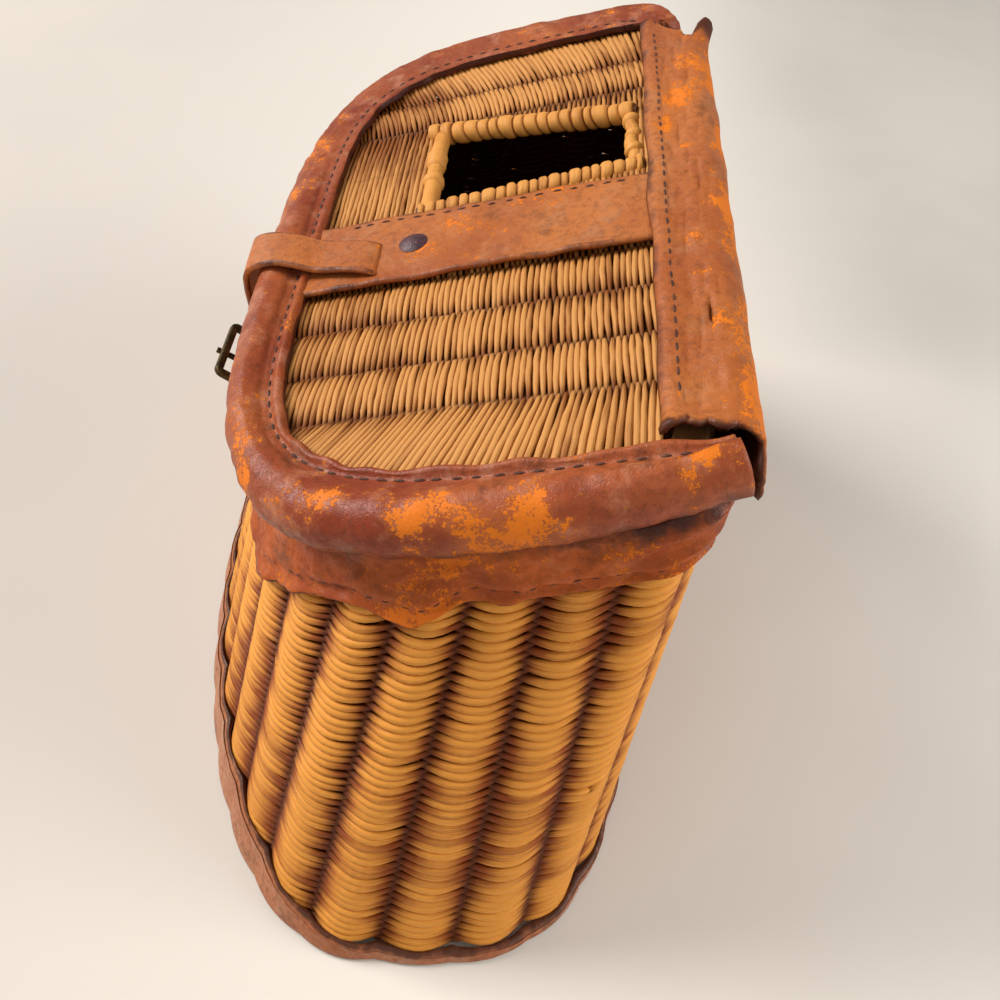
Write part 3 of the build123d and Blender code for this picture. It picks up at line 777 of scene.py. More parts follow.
def makeWrapping(name, settings):
    # radius around the cane = a rounded ridge for each turn of strand,
    # with narrow grooves between them that run slightly aslant
    h = holeEdge
    maker = np.random.default_rng(settings["seed"])
    edges = np.concatenate([[0], np.cumsum(maker.uniform(0.7, 1.35, settings["turns"]))])
    edges = edges / edges[-1]
    v = np.linspace(0, 1, h["steps"])
    angle = 2 * pi * np.arange(h["around"]) / h["around"]
    lean = settings["lean"] * (1 + 0.6 * np.sin(np.arange(settings["turns"] + 1) * 2.4))
    place = v[:, None] * settings["turns"] + np.interp(v, edges, lean)[:, None] * np.sin(angle) * 2.2
    turnAt = np.interp(np.clip(place / settings["turns"], 0, 1), edges, np.arange(settings["turns"] + 1))
    part = turnAt - np.floor(turnAt)
    index = np.clip(np.floor(turnAt).astype(int), 0, settings["turns"] - 1)
    size = maker.uniform(-0.35, 0.4, settings["turns"])
    ridge = 1 - np.abs(2 * part - 1) ** 3.2
    radius = settings["radius"] - 1.5 + 1.5 * ridge ** 0.6 + size[index] * ridge
    radius *= 0.94 + 0.06 * np.cos(2 * angle)
    start = lidPlace(*settings["start"], h["height"])
    end = lidPlace(*settings["end"], h["height"])
    line = start + (end - start) * v[:, None]
    side = np.cross(unit(end - start), lidUp)
    way = side * np.cos(angle)[:, None] + lidUp * np.sin(angle)[:, None]
    rings = line[:, None] + radius[..., None] * way
    tone = np.clip(0.5 + maker.uniform(-0.35, 0.45, settings["turns"])[index], 0, 1)
    mapping = np.stack([np.broadcast_to(angle / 6.28 * 0.027, part.shape) + index * 0.3, part], -1)
    # depth: low in the grooves between turns, for painted shade there
    extras = {"tone": tone, "depth": 0.1 + 0.9 * ridge ** 0.45}
    return makePiece(name, rings, sweptFaces(h["steps"], h["around"]), "lid", wrapCane,
                     extras, mapping)


bareCanes = {
    "holeFrontCane": {
        "path": [(-66, 79.0, -2.4), (-52, 79.6, -2.0), (-38, 79.4, -1.8),
                 (-24, 79.2, -2.2), (-12, 79.5, -2.6)],
        "radius": 3.0, "rings": (0.35, 0.42, 0.63), "node": "hole_front_cane",
    },
    "holeBackCane": {
        "path": [(-56, 6.6, -3.0), (-46, 7.6, -1.8), (-40, 6.6, -2.2),
                 (-33, 7.8, -1.7), (-26, 6.6, -2.3), (-16, 7.0, -3.0)],
        "radius": 2.5, "rings": (0.2, 0.45, 0.7), "node": "hole_back_cane",
    },
}


def makeBareCane(name, settings):
    # a cane swept along a smooth line, its radius swelling at a few bindings and varied by noise
    steps, around = 150, 16
    line = smoothPath(settings["path"], steps)
    centre = lidPlace(line[:, 0], line[:, 1], line[:, 2])
    share = np.linspace(0, 1, steps)
    radius = settings["radius"] * (1 + 0.06 * softNoise(centre, 9, 51))
    for ring in settings["rings"]:
        gap = (share - ring) * 46
        radius = radius + 0.75 * np.exp(-(gap / 1.9) ** 4) - 0.35 * peak(np.abs(gap), 2.3, 0.5)
    ahead = unit(np.gradient(centre, axis=0))
    side = unit(np.cross(ahead, lidUp))
    upright = unit(np.cross(side, ahead))
    rings, faces = tubes(centre[None], side[None], upright[None], radius[None], radius[None], around)
    mapping = strandMap(share * 0.05, around)
    # depth: high on the swollen bindings and low in the dips beside them, for painted shade there
    depth = np.clip(radius - settings["radius"] + 0.85, 0, 1)
    extras = {"tone": np.full(steps * around, 0.55), "depth": perRing(depth, around)}
    piece = makePiece(name, rings, faces, "lid", wrapCane, extras, mapping)
    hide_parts(settings["node"])
    return piece


nearWrap = makeWrapping("holeNearWrap", holeEdge["near"])
farWrap = makeWrapping("holeFarWrap", holeEdge["far"])
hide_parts("hole_near_wrapping")
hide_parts("hole_far_wrapping")
for caneName, caneSettings in bareCanes.items():
    makeBareCane(caneName, caneSettings)
print("fish hole bound")


def roundLoop(values, per=3):
    # a closed curve through the last axis, the same number of places between each two points
    p0, p1, p2, p3 = (np.roll(values, k, -1)[..., None] for k in (1, 0, -1, -2))
    return throughFour(p0, p1, p2, p3, np.arange(per) / per).reshape(values.shape[:-1] + (-1,))


# leather roll round the lid: one profile carried round the lid's outline, its flange ending in a raised bead
lidRoll = {
    "innerField": (116.0, 115.3, 4.95, 4.65),
    "steps": 460,
    "lastShare": 0.848,
    # distance and height: these out from the woven field, the next in from the outer edge
    "fromField": [(0.2, 0.1), (0.0, 1.2), (0.3, 2.6), (1.2, 3.5), (2.3, 3.4),
                  (3.2, 2.5), (4.2, 2.0), (5.4, 2.4), (6.6, 2.9)],
    "fromEdge": [(14.0, 4.3), (11.8, 5.5), (9.4, 6.2), (6.9, 6.0), (4.4, 5.0),
                 (2.2, 3.0), (0.7, 0.4), (0.0, -2.6), (0.3, -5.8), (1.5, -8.6), (3.5, -10.5),
                 (6.0, -11.4), (9.0, -11.5), (12.0, -10.8), (14.6, -9.0),
                 (16.4, -6.4), (17.2, -3.6), (17.6, -0.9)],
    "under": [(3.5, 0.0)],
    "wrinkle": 0.36,
    "nearBend": 0.0026,     # how fast the straight near end bends in towards the back
    # x, distance forward, reach and strength of each scuff
    "scuffs": [(111, 110, 4, 0.6), (124, 84, 4, 0.35), (134, 61, 6.5, 0.75),
               (131, 53, 4, 0.5), (137, 47, 5, 0.7), (138, 37, 6, 0.75),
               (135, 30, 4.5, 0.6), (137, 22, 3.5, 0.5), (123, -8, 3.0, 0.8), (130, -3, 2.4, 0.5)],
}
nearPlaces = np.linspace(0.1, 0.3, 801)
lidRoll["nearShare"] = float(np.interp(44.0, -lidRing.place(nearPlaces)[1], nearPlaces))
lidRoll["firstShare"] = lidRoll["nearShare"] - 62.0 / lidRing.length


def flangeInset(share):
    # distance in from the lid's outer edge at which the woven field begins, found by halving
    halfX, front, powerX, powerF = lidRoll["innerField"]
    low, high = np.full_like(share, 12.0), np.full_like(share, 44.0)
    for _ in range(30):
        middle = (low + high) / 2
        x, y = rollPlace(share, middle)
        outside = (np.abs(x) / halfX) ** powerX + (np.maximum(-y, 0) / front) ** powerF > 1
        low, high = np.where(outside, middle, low), np.where(outside, high, middle)
    return (low + high) / 2


def rollPlace(share, inset):
    # the lid's outline moved in; past the start of the near end the line bends in as a parabola instead
    s = lidRoll
    x, y = lidRing.offset(share, -inset)
    startX, startY = lidRing.place(s["nearShare"])
    past = np.clip(s["nearShare"] - share, 0, None) * lidRing.length
    slope = 2 * s["nearBend"] * past
    length = np.sqrt(1 + slope ** 2)
    nearX = startX - s["nearBend"] * past ** 2 - inset / length
    nearY = startY + past - inset * slope / length
    near = share < s["nearShare"]
    return np.where(near, nearX, x), np.where(near, nearY, y)


def makeRoll():
    # wrinkles are stretched noise along the crest, deeper low on the outside, none at the flange
    s = lidRoll
    share = np.linspace(s["firstShare"], s["lastShare"], s["steps"])
    flange = flangeInset(share)[:, None]
    inner, outer, under = (np.array(s[k]) for k in ("fromField", "fromEdge", "under"))
    jitter = softNoise(gather(share * 900, 0, 0), 26, 61)[:, None]
    # where the flange is narrow, the profile beyond the bead is drawn closer to it
    room = np.clip((flange - 14.5) / 7.1, 0.15, 1)
    outerInset = np.where(outer[:, 0] > 6.9, 6.9 + (outer[:, 0] - 6.9) * room, outer[:, 0])
    inset = np.concatenate([flange - inner[:, 0], outerInset, flange - under[:, 0]], 1)
    inset[:, :5] += jitter * 0.5
    height = np.broadcast_to(np.concatenate([inner[:, 1], outer[:, 1], under[:, 1]]), inset.shape).copy()
    height[:, 2:5] += jitter * 0.35
    inset, height = roundLoop(inset), roundLoop(height)
    x, y = rollPlace(share[:, None], inset)
    farSide = ramp(-x, 40, 70) * (inset < 17)
    height = np.where(height > 0, height * (1 - 0.42 * farSide), height)
    flat = 0.8 * ramp(-x, 8, 50)
    height = np.where(height > 1.15, height + (2.7 - height) * flat, height)
    place = lidPlace(x, -y, height)
    # level counts the profile's points: the crest is about 12, the skirt outside it about 17
    level = np.arange(inset.shape[1]) / 3
    crest = peak(level, 12.5, 3.2)
    skirt = peak(level, 17.5, 3.0)
    along = gather(share[:, None] * 820, level * 3.2, 0)
    normal = unit(np.cross(np.gradient(place, axis=0), np.gradient(place, axis=1)))
    if (normal[:, 33] @ lidUp).mean() < 0:
        normal = -normal
    fold = softNoise(along, 15, 62, (1, 0.45, 1)) * 0.6 + softNoise(along, 6, 63) * 0.28
    crumple = -np.abs(softNoise(along, 9, 64, (1, 0.4, 1)))
    wrinkle = fold * (0.35 + crest + skirt) + crumple * skirt * 0.7
    place = place + normal * (wrinkle * s["wrinkle"])[..., None]
    wear = 0.34 * crest * (0.75 + 0.5 * softNoise(along, 42, 65))
    wear = wear + 0.28 * softNoise(along, 60, 66) * (level < 24)
    wear += 0.15 * peak(level, 3, 0.8)
    for scuffX, scuffForward, reach, strength in s["scuffs"]:
        away = ((x - scuffX) ** 2 + (-y - scuffForward / slopeCos) ** 2) / reach ** 2
        wear = wear + strength * np.exp(-away) * (level > 8) * (level < 20)
    # dark at the flange's inner edge and just outside the bead; darker down the roll's outer face below the
    # crest, painted shade under the roll
    rim = 0.9 * peak(level, 0.8, 0.9) + 0.36 * peak(level, 5.4, 0.8)
    rim = rim + 0.8 * ramp(level, 14.5, 4.5) * (level < 27)
    piece = makePiece("lidRoll", place, sweptFaces(s["steps"], inset.shape[1]), "lid", rimHide,
                      {"wear": wear, "rim": rim + 0 * inset})
    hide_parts("lid_leather_roll")
    return piece


# mouth band: leather folded over the basket's rim, its lower edge wavy
mouthBand = {
    "steps": 480,
    "top": -12.0,
    "skirtTop": -21.4,
    "drop": 13.0,
    # share of the way round, and how far the lower edge hangs below the mean one there
    "hang": [(0.0, 4.0), (0.12, 2.0), (0.148, -6.0), (0.17, -8.0), (0.195, -6.0), (0.225, -3.5),
             (0.245, -3.0), (0.262, -4.5), (0.276, 1.5), (0.29, -0.5), (0.305, -3.0), (0.325, 1.0),
             (0.342, 6.0), (0.36, 12.0), (0.4, 10.0), (0.5, 6.0), (0.64, 8.0), (0.7, 0.0),
             (0.76, -3.0), (0.82, 1.0), (0.9, 5.0), (1.0, 4.0)],
    "outer": 4.25,
    "thick": 2.4,
    "grainRadius": 150,
    # x, y, radius and change of wear of single marks
    "marks": [(104, -52, 28, -0.8), (133, 14, 13, 0.4)],
}


def plainRing(share, radius):
    # a level circle of places, one row for each share of the way round
    return radius * gather(np.cos(2 * pi * share), np.sin(2 * pi * share), 0)[:, None]


def makeMouthBand():
    # profile points are (out from the wall's middle, height beside the lid), carried along the leaning wall
    s = mouthBand
    share = np.arange(s["steps"]) / s["steps"]
    low = s["skirtTop"] - s["drop"]
    out, thick = s["outer"], s["thick"]
    full, top, skirt = out + thick, s["top"], s["skirtTop"]
    profile = np.array([
        (out, low + 1.0), (out + 0.6, low - 0.6), (out + 1.8, low - 0.4), (full + 0.7, low + 0.9),
        (full - 0.7, low + 3.2), (full + 0.5, low + 6.2), (full + 0.1, low + 10.5), (full, low + 14.0),
        (full, low + 17.5), (full - 0.3, low + 20.0), (full - 1.6, low + 22.2), (out - 1.6, top),
        (0.0, top + 0.1), (-out + 1.6, top), (-full + 1.6, top - 1.0), (-full, top - 4.0),
        (-full, skirt - 4.0), (-full + 0.3, skirt - 8.4), (-out - 0.8, skirt - 9.0), (-out, skirt - 8.0),
        (-out + 0.4, skirt - 2.0), (0, top - 4.0), (out - 0.4, skirt - 2.0), (out, low + 6.0),
    ])
    loop = roundLoop(profile.T, 4)
    outs = np.broadcast_to(loop[0], (s["steps"], loop.shape[1])).copy()
    heights = np.broadcast_to(loop[1], outs.shape).copy()
    ring = plainRing(share, s["grainRadius"])
    level = np.clip((heights - low) / 22.5, 0, 1)
    outside = np.clip((outs + 1) / 4, 0, 1)
    scallop = np.cos(2 * pi * (share[:, None] * basketShape["stakes"] + 0.5))
    wave = softNoise(ring, 60, 71) * 0.7 + softNoise(ring, 24, 72) * 0.5 + 0.5 * scallop
    hang = np.interp(share, *np.array(s["hang"]).T)[:, None] - 0.6 * wave
    heights = heights - np.clip(1 - level * 1.35, 0, 1) * hang * outside
    up = wallUpAt(share[:, None], outs, None, heights)
    place = wallPlace(share[:, None], outs, up)
    outward = unit(wallPlace(share[:, None], outs + 1, up) - wallPlace(share[:, None], outs - 1, up))
    along = ring + gather(0, 0, heights)
    fold = softNoise(along, 26, 73, (1, 1, 2.2)) * 0.55
    fold = fold + softNoise(along, 10, 74, (1, 1, 1.6)) * 0.32
    crease = -np.abs(softNoise(along, 15, 75, (0.5, 0.5, 2.4))) + 0.5
    flute = scallop * np.clip(1 - level * 1.7, 0, 1)
    ruck = -np.abs(softNoise(along, 7.5, 78, (0.8, 0.8, 2.0))) + 0.4
    relief = (fold + crease * 0.8 + ruck * 0.5) * 0.9 + flute * 0.7
    place = place + outward * (relief * outside)[..., None]
    wear = 0.1 + 0.36 * softNoise(along, 55, 76) + 0.25 * np.clip(fold, 0, 1)
    wear = wear + 0.35 * peak(level, 0.05, 0.08)
    for markX, markY, reach, change in s["marks"]:
        away = ((place[..., 0] - markX) ** 2 + (place[..., 1] - markY) ** 2) / reach ** 2
        wear = wear + change * np.exp(-away)
    blotches = np.clip(softNoise(along, 30, 77, (0.6, 0.6, 1.5)) - 0.1, 0, 1)
    # dark at the lower edge, on the band's inner side and in blotches; darker over the band's upper part,
    # painted shade under the lid's roll
    rim = 0.75 * np.exp(-(level / 0.035) ** 2) + 0.8 * (1 - outside) + 0.42 * blotches
    rim = rim + 0.7 * ramp(level, 0.55, 0.4)
    faces = [gridFaces(s["steps"], outs.shape[1], closeRows=True)]
    piece = makePiece("mouthBand", place, faces, "basket", bandHide, {"wear": wear, "rim": rim})
    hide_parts("mouth_leather")
    return piece


# foot band: leather glued over the bottom of the weave, following every bulge
footBand = {
    "steps": 490,
    "top": 13.0,
    "low": 0.64,
    "gap": 0.35,
    "thick": 2.2,
    "outMost": 6.9,
    "grainRadius": 190,
    # share of the way round, and the upper edge's height there
    "edge": [(0.0, 11.0), (0.12, 8.0), (0.17, 5.0), (0.21, 4.6), (0.235, 4.4), (0.262, 5.6),
             (0.282, 8.5), (0.3, 12.0), (0.321, 17.0), (0.345, 21.0), (0.4, 20.0), (0.5, 18.0),
             (0.62, 19.0), (0.7, 14.0), (0.76, 10.0), (0.85, 9.0), (1.0, 11.0)],
}


def makeFootBand():
    # out = the weave's bulge over each stake + a thickness; the upper edge rises and falls a little
    s = footBand
    share = np.arange(s["steps"]) / s["steps"]
    lobe = np.abs(np.sin(pi * share * basketShape["stakes"]))[:, None] ** 0.9
    gap, thick, top, low = s["gap"], s["thick"], s["top"], s["low"]
    full = gap + thick
    profile = np.array([
        (gap, low), (full - 0.7, low), (full, low + 0.8), (full + 0.2, 4), (full, 8), (full, 12),
        (full - 0.2, top - 1.6), (full - 0.9, top - 0.2), (gap + 0.7, top + 0.1), (gap, top - 0.8),
        (gap, 11), (gap, 5),
    ])
    loop = roundLoop(profile.T, 3)
    ring = plainRing(share, s["grainRadius"])
    height = loop[1] + 0 * share[:, None]
    wave = softNoise(ring, 70, 81) * 0.8 + softNoise(ring, 20, 82) * 0.35
    edge = np.interp(share, *np.array(s["edge"]).T)[:, None] + wave * 0.8
    height = low + (height - low) * (edge - low) / (top - low)
    along = ring + gather(0, 0, height)
    dent = (softNoise(along, 28, 83) * 0.5 + softNoise(along, 9, 84) * 0.2) * np.clip(height / 5, 0, 1)
    outer = np.clip((loop[0] - gap) / thick, 0, 1)
    out = loop[0] + (1.4 + 2.6 * lobe) * (1 - outer) + (3.1 + 1.0 * lobe) * outer + dent * 0.6
    out = np.minimum(out, s["outMost"])
    place = wallPlace(share[:, None], out, wallUpAt(share[:, None], out, height))
    wear = 0.02 + 0.22 * softNoise(along, 60, 85) + 0.15 * np.exp(-((height - edge) / 1.2) ** 2)
    rim = 0.75 * np.exp(-((height - edge) / 1.0) ** 2) + 0.35 * np.exp(-(height / 1.8) ** 2)
    faces = [gridFaces(s["steps"], out.shape[1], closeRows=True)]
    piece = makePiece("footBand", place, faces, "basket", footHide, {"wear": wear, "rim": rim})
    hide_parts("foot_leather")
    return piece


roll = makeRoll()
mouthLeather = makeMouthBand()
makeFootBand()
print("leather bands made")


def makeStitches(name, line, normals, body, pitch, long, radius, seed):
    # short capsules laid along a line on a surface, one each pitch, sunk half into it at their ends
    maker = np.random.default_rng(seed)
    run = np.concatenate([[0], np.cumsum(np.linalg.norm(np.diff(line, axis=0), axis=1))])
    places = np.arange(pitch, run[-1] - pitch, pitch)
    places = places + maker.uniform(-0.12, 0.12, len(places)) * pitch
    steps = np.array([-0.5, -0.42, -0.2, 0.0, 0.2, 0.42, 0.5])
    swell = np.array([0.3, 0.8, 1.0, 1.05, 1.0, 0.8, 0.3])
    sink = np.array([-0.9, -0.35, 0.1, 0.25, 0.1, -0.35, -0.9]) * radius
    at = places[:, None] + steps * long * maker.uniform(0.85, 1.1, len(places))[:, None]
    centre, upright = (gather(*[np.interp(at, run, column) for column in values.T])
                       for values in (line, normals))
    upright = unit(upright)
    centre = centre + upright * sink[:, None]
    ahead = unit(np.gradient(centre, axis=1))
    across = unit(np.cross(upright, ahead))
    upright = unit(np.cross(ahead, across))
    half = np.broadcast_to(swell * radius, at.shape)
    rings, faces = tubes(centre, across, upright, half, half * 0.8, 6)
    return makePiece(name, rings, faces, body, threadFinish)


def gridLine(piece, columns, column, rows):
    # a line along one column of a piece that was made on a grid of rows and columns, with its normals
    points = np.empty(len(piece.data.vertices) * 3, np.float32)
    normals = np.empty_like(points)
    piece.data.vertices.foreach_get("co", points)
    piece.data.vertex_normals.foreach_get("vector", normals)
    pick = np.arange(rows.start, rows.stop) * columns + column
    return points.reshape(-1, 3)[pick] * 1000.0, normals.reshape(-1, 3)[pick]


rollColumns = len(roll.data.vertices) // lidRoll["steps"]
line, normals = gridLine(roll, rollColumns, 18, range(6, lidRoll["steps"] - 6))
makeStitches("rollStitches", line, normals, "lid", 5.2, 3.2, 0.46, 121)
bandColumns = len(mouthLeather.data.vertices) // mouthBand["steps"]
bandRows = range(int(0.17 * mouthBand["steps"]), int(0.83 * mouthBand["steps"]))
line, normals = gridLine(mouthLeather, bandColumns, 18, bandRows)
makeStitches("bandStitches", line, normals, "basket", 5.6, 2.6, 0.26, 122)


# straps: thick sheets shaped on a grid
centreStrap = {
    "left": -6.8,
    "right": 28.9,
    "back": -2.5,
    "front": 117.0,
    "thick": 2.1,
    "lift": 1.15,
    "steps": (150, 44),
}


def makeCentreStrap():
    # flat on the weave, its edges bowed a little by noise, its near edge lifted slightly where it has dried
    s = centreStrap
    v = np.linspace(s["back"], s["front"], s["steps"][0])[:, None]
    u = np.linspace(0, 1, s["steps"][1])[None]
    along = gather(0 * u, v, 0)
    left = s["left"] + 0.5 * softNoise(along, 40, 91)
    right = s["right"] + 0.45 * softNoise(along + 200, 45, 92)
    x = left + (right - left) * u
    place = gather(x, v, 0)
    nearEdge = ramp(u, 0.86, 0.14) ** 2 * (0.6 + 0.4 * softNoise(along, 25, 94))
    height = s["lift"] + 0.28 * softNoise(place, 22, 93) + 0.9 * nearEdge
    height = np.maximum(height, 1.06) - 1.3 * np.clip((3.0 - v) / 3.5, 0, 1)
    middle = lidPlace(x, v, height)
    points, faces = thickSheet(middle, s["thick"])
    wear = 0.12 + 0.35 * softNoise(place, 40, 95) + 0.25 * softNoise(place, 16, 96)
    edge = np.exp(-(u / 0.05) ** 2) + np.exp(-((1 - u) / 0.035) ** 2)
    rim = 0.55 * edge + 0 * x
    piece = makePiece("centreStrap", points, faces, "lid", strapHide,
                      {"wear": sheetValues(wear + 0 * x), "rim": sheetValues(rim, 0.5)})
    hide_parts("centre_strap")
    return piece


hingeLeather = {
    "half": 113.0,
    "thick": 2.2,
    "lift": 2.6,        # how far the dried near end stands up
    "curl": 5.0,        # and the small curl at the far end
    "length": 95.0,     # over the fold, for the grain
    # (forward, height) on the lid, then (y, z) down the back
    "onLid": [(1.6, 2.3), (-0.8, 3.3), (-3.4, 2.7), (-6.5, 2.0), (-10, 2.1), (-14, 2.4), (-17.5, 1.5)],
    "onBack": [(89.2, 199.4), (90.0, 195.0), (90.0, 190.9), (89.95, 186.0),
               (89.9, 180.0), (89.9, 172.0), (89.9, 165.0)],
    "steps": (70, 240),
    # x, share of the way over, half length, half width and strength of each scuff
    "scuffs": [(-31, 0.1, 8, 0.05, 0.9), (-45, 0.2, 13, 0.09, 0.9), (-16, 0.21, 2.5, 0.09, 0.7),
               (34, 0.2, 2.2, 0.06, 0.7), (52, 0.21, 2.0, 0.07, 0.8), (75, 0.26, 3.0, 0.07, 0.8),
               (92, 0.3, 6, 0.1, 0.6), (8, 0.22, 2.0, 0.08, 0.6), (62, 0.18, 1.8, 0.05, 0.5),
               (-72, 0.3, 12, 0.08, 0.8)],
}


def makeHingeLeather():
    # a sheet bent over the lid's back edge and down the basket's back; creases run beside the fold
    s = hingeLeather
    top = lidPlace(0, *np.array(s["onLid"]).T)[:, 1:]
    line = smoothPath(np.concatenate([top, np.array(s["onBack"])]), s["steps"][0])
    u = np.linspace(-1, 1, s["steps"][1])[None]
    run = np.arange(s["steps"][0])[:, None] / (s["steps"][0] - 1)
    below = ramp(run, 0.45, 0.5)
    farCut = np.interp(run, [0, 0.12, 0.3, 0.42, 0.6, 1], [0, 2, 19, 22, 14, 0])
    nearCut = np.interp(run, [0, 0.45, 0.55, 0.64, 0.74, 0.86, 1], [0, 0, -7, -9, -2, 18, 24])
    wide = s["half"] - np.where(u < 0, farCut, nearCut)
    outer = ramp(np.abs(u), 0.9, 0.1)
    ragged = gather(run * s["length"], 400 * np.sign(u), 0)
    torn = softNoise(ragged, 11, 106) * 0.9 + softNoise(ragged, 3.5, 107) * 0.45
    x = u * wide + outer * np.sign(u) * torn
    tongue = np.exp(-((run - 0.38) / 0.045) ** 4) * ramp(-u, 0.9, 0.1)
    x = x - 13.0 * tongue
    turnIn, turnUp = (np.clip((np.abs(u) - k) / (1 - k), 0, 1) ** 2 for k in (0.78, 0.8))
    y = line[:, 0][:, None] + np.where(u < 0, -3.2, 1.5) * below * turnIn
    z = line[:, 1][:, None] + np.where(u < 0, 11.0, 5.0) * below * turnUp
    middle = gather(x, y, z)
    normals = sheetNormals(middle)
    if normals[0, :, 2].mean() < 0:
        normals = -normals
    along = gather(x, run * s["length"], 0)
    creases = -np.abs(softNoise(along, 10, 101, (0.35, 1.6, 1))) + 0.45
    swell = softNoise(along, 34, 102) * 0.5 + softNoise(along, 13, 103) * 0.25
    fold = peak(run, 0.24, 0.1)
    amount = (0.25 + 0.9 * fold) * creases * 0.7 + swell * 0.45 * (run < 0.5)
    amount = np.minimum(amount, 0.55)
    edge = np.clip(run / 0.06, 0, 1)
    middle = middle + normals * (amount * edge)[..., None]
    waver = softNoise(along, 38, 109, (1.0, 0, 0))
    middle[..., 1] += 0.7 * waver * np.clip(1 - run / 0.1, 0, 1)
    lift = s["lift"] * ramp(u, 0.93, 0.07) ** 1.6 * np.exp(-((run - 0.1) / 0.13) ** 4)
    lift = lift * (1 + 0.3 * softNoise(ragged, 9, 108))
    curl = s["curl"] * tongue ** 2
    middle = middle + normals * (lift + curl)[..., None]
    points, faces = thickSheet(middle, s["thick"])
    crest = peak(run, 0.42, 0.12)
    wear = (0.78 + 0.3 * np.clip((x + 10) / 60, 0, 1)) * crest * (0.9 + 0.3 * softNoise(along, 40, 104))
    wear = wear + 0.04 + 0.25 * softNoise(along, 22, 105)
    for scuffX, scuffRun, scuffLong, scuffWide, strength in s["scuffs"]:
        away = ((x - scuffX) / scuffLong) ** 2 + ((run - scuffRun) / scuffWide) ** 2
        wear = wear + 0.72 * strength * np.exp(-away)
    wear = wear + 0.6 * ramp(u, 0.9, 0.1) * np.clip(below * 3, 0, 1)
    rim = 0.6 * np.exp(-(run / 0.045) ** 2) + 0.5 * np.exp(-((1 - np.abs(u)) / 0.02) ** 2) + 0.8 * tongue
    rim = rim + 0.4 * peak(run, 0.085, 0.012)
    # the sheet's underside is its flesh side: a wear of -1 keeps scuffs off it, and a rim of 1 paints it in
    # the dark edge colour as painted shade in the gap beneath
    fleshWear, rimWithShadedUnderside = sheetValues(wear), sheetValues(rim, 0.8)
    fleshWear[:wear.size], rimWithShadedUnderside[:rim.size] = -1.0, 1.0
    piece = makePiece("hingeLeather", points, faces, None, strapHide,
                      {"wear": fleshWear, "rim": rimWithShadedUnderside})
    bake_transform(piece)
    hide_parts("hinge_strip_lid", "hinge_strip_back")
    return piece


latchStrap = {
    "start": (17.0, 93.0),
    "skew": 12.0,
    "width": 16.0,
    "thick": 2.2,
    "lift": 2.35,
    # (run, height) along the strap's middle, from its slit to the fold
    "path": [(-1.0, -0.3), (3, 1.0), (9, 1.4), (16, 1.6), (21, 2.3), (26, 4.0),
             (31, 5.3), (36, 5.9), (40.5, 5.5), (44.5, 4.1), (47.0, 1.6), (48.2, -1.4)],
    "tail": 28.0,
    "length": 85.0,
    "steps": (110, 22),
}


def makeLatchStrap():
    # run along the lid's face aslant, over the roll, then straight down in the world as far as the tail's end
    s = latchStrap
    skew = radians(s["skew"])
    startX, startForward = s["start"]
    run, height = np.array(s["path"]).T
    onLid = lidPlace(startX - run * sin(skew), startForward + run * cos(skew), height + s["lift"])
    last = onLid[-1]
    downward = np.array([-sin(skew), 0.0, -cos(skew)])
    drops = np.array([4.0, 10.0, 17.0, s["tail"] - 1.5])
    tail = last + downward * drops[:, None] - np.array([0, 0.25, 0])
    line = smoothPath(np.concatenate([onLid, tail]), s["steps"][0])
    v = np.linspace(0, 1, s["steps"][0])[:, None]
    u = np.linspace(-1, 1, s["steps"][1])[None]
    side = np.array([1.0, 0.0, 0.0])
    flatSide = np.array([cos(skew), 0.0, -sin(skew)])
    turn = ramp(v, 0.45, 0.25)[..., None]
    across = unit(side * (1 - turn) + flatSide * turn)
    distance = np.linalg.norm(line[-1] - line, axis=-1)[:, None]
    half = s["width"] / 2 * np.clip(1 - np.clip(1 - distance / 5.5, 0, 1) ** 2.2 * 0.75, 0, 1)
    along = gather(v * s["length"], u * s["width"] / 2, 0)
    middle = line[:, None] + across * (u * half)[..., None]
    normals = sheetNormals(middle)
    if normals[3, :, 2].mean() < 0:
        normals = -normals
    bow = 0.18 * softNoise(along, 22, 111)
    curl = 0.7 * ramp(u, 0.55, 0.45) ** 2 * np.clip(1 - v / 0.45, 0, 1)
    middle = middle + normals * (bow * np.clip(v * 8, 0, 1) + curl)[..., None]
    points, faces = thickSheet(middle, s["thick"])
    wear = 0.05 + 0.3 * softNoise(along, 26, 112)
    wear = wear + 0.55 * np.exp(-(v / 0.03) ** 2) + 0.35 * peak(v, 0.6, 0.08)
    rim = 0.7 * np.exp(-((1 - np.abs(u)) / 0.12) ** 2) + 0 * v
    piece = makePiece("latchStrap", points, faces, None, strapHide,
                      {"wear": sheetValues(wear + 0 * u), "rim": sheetValues(rim, 0.5)})
    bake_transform(piece)
    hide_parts("latch_strap", "latch_tail")
    return piece


# leather that holds the buckle's bar: two plies up the wall, two lobes round the bar beside the prong's slot
chape = {
    "crest": (0.0, -65.04, 97.98),
    "foot": (0.0, -88.1, 5.0),
    "width": 19.0,
    "slot": 1.95,
    "slotFloor": 0.9,
    "slotBelow": 4.5,
    # (up from the bar's middle, out from the weave) round the section
    "section": [(-39.6, 0.5), (-39.8, 2.2), (-38.6, 3.4), (-30, 3.55), (-15, 3.5), (-7, 3.7),
                (-4.2, 5.3), (-2.2, 6.8), (0.2, 7.25), (2.4, 6.5), (3.6, 4.6), (3.6, 2.6),
                (2.6, 0.9), (0.6, 0.15), (-6, 0.12), (-20, 0.12), (-34, 0.12)],
    "out": -3.66,
}


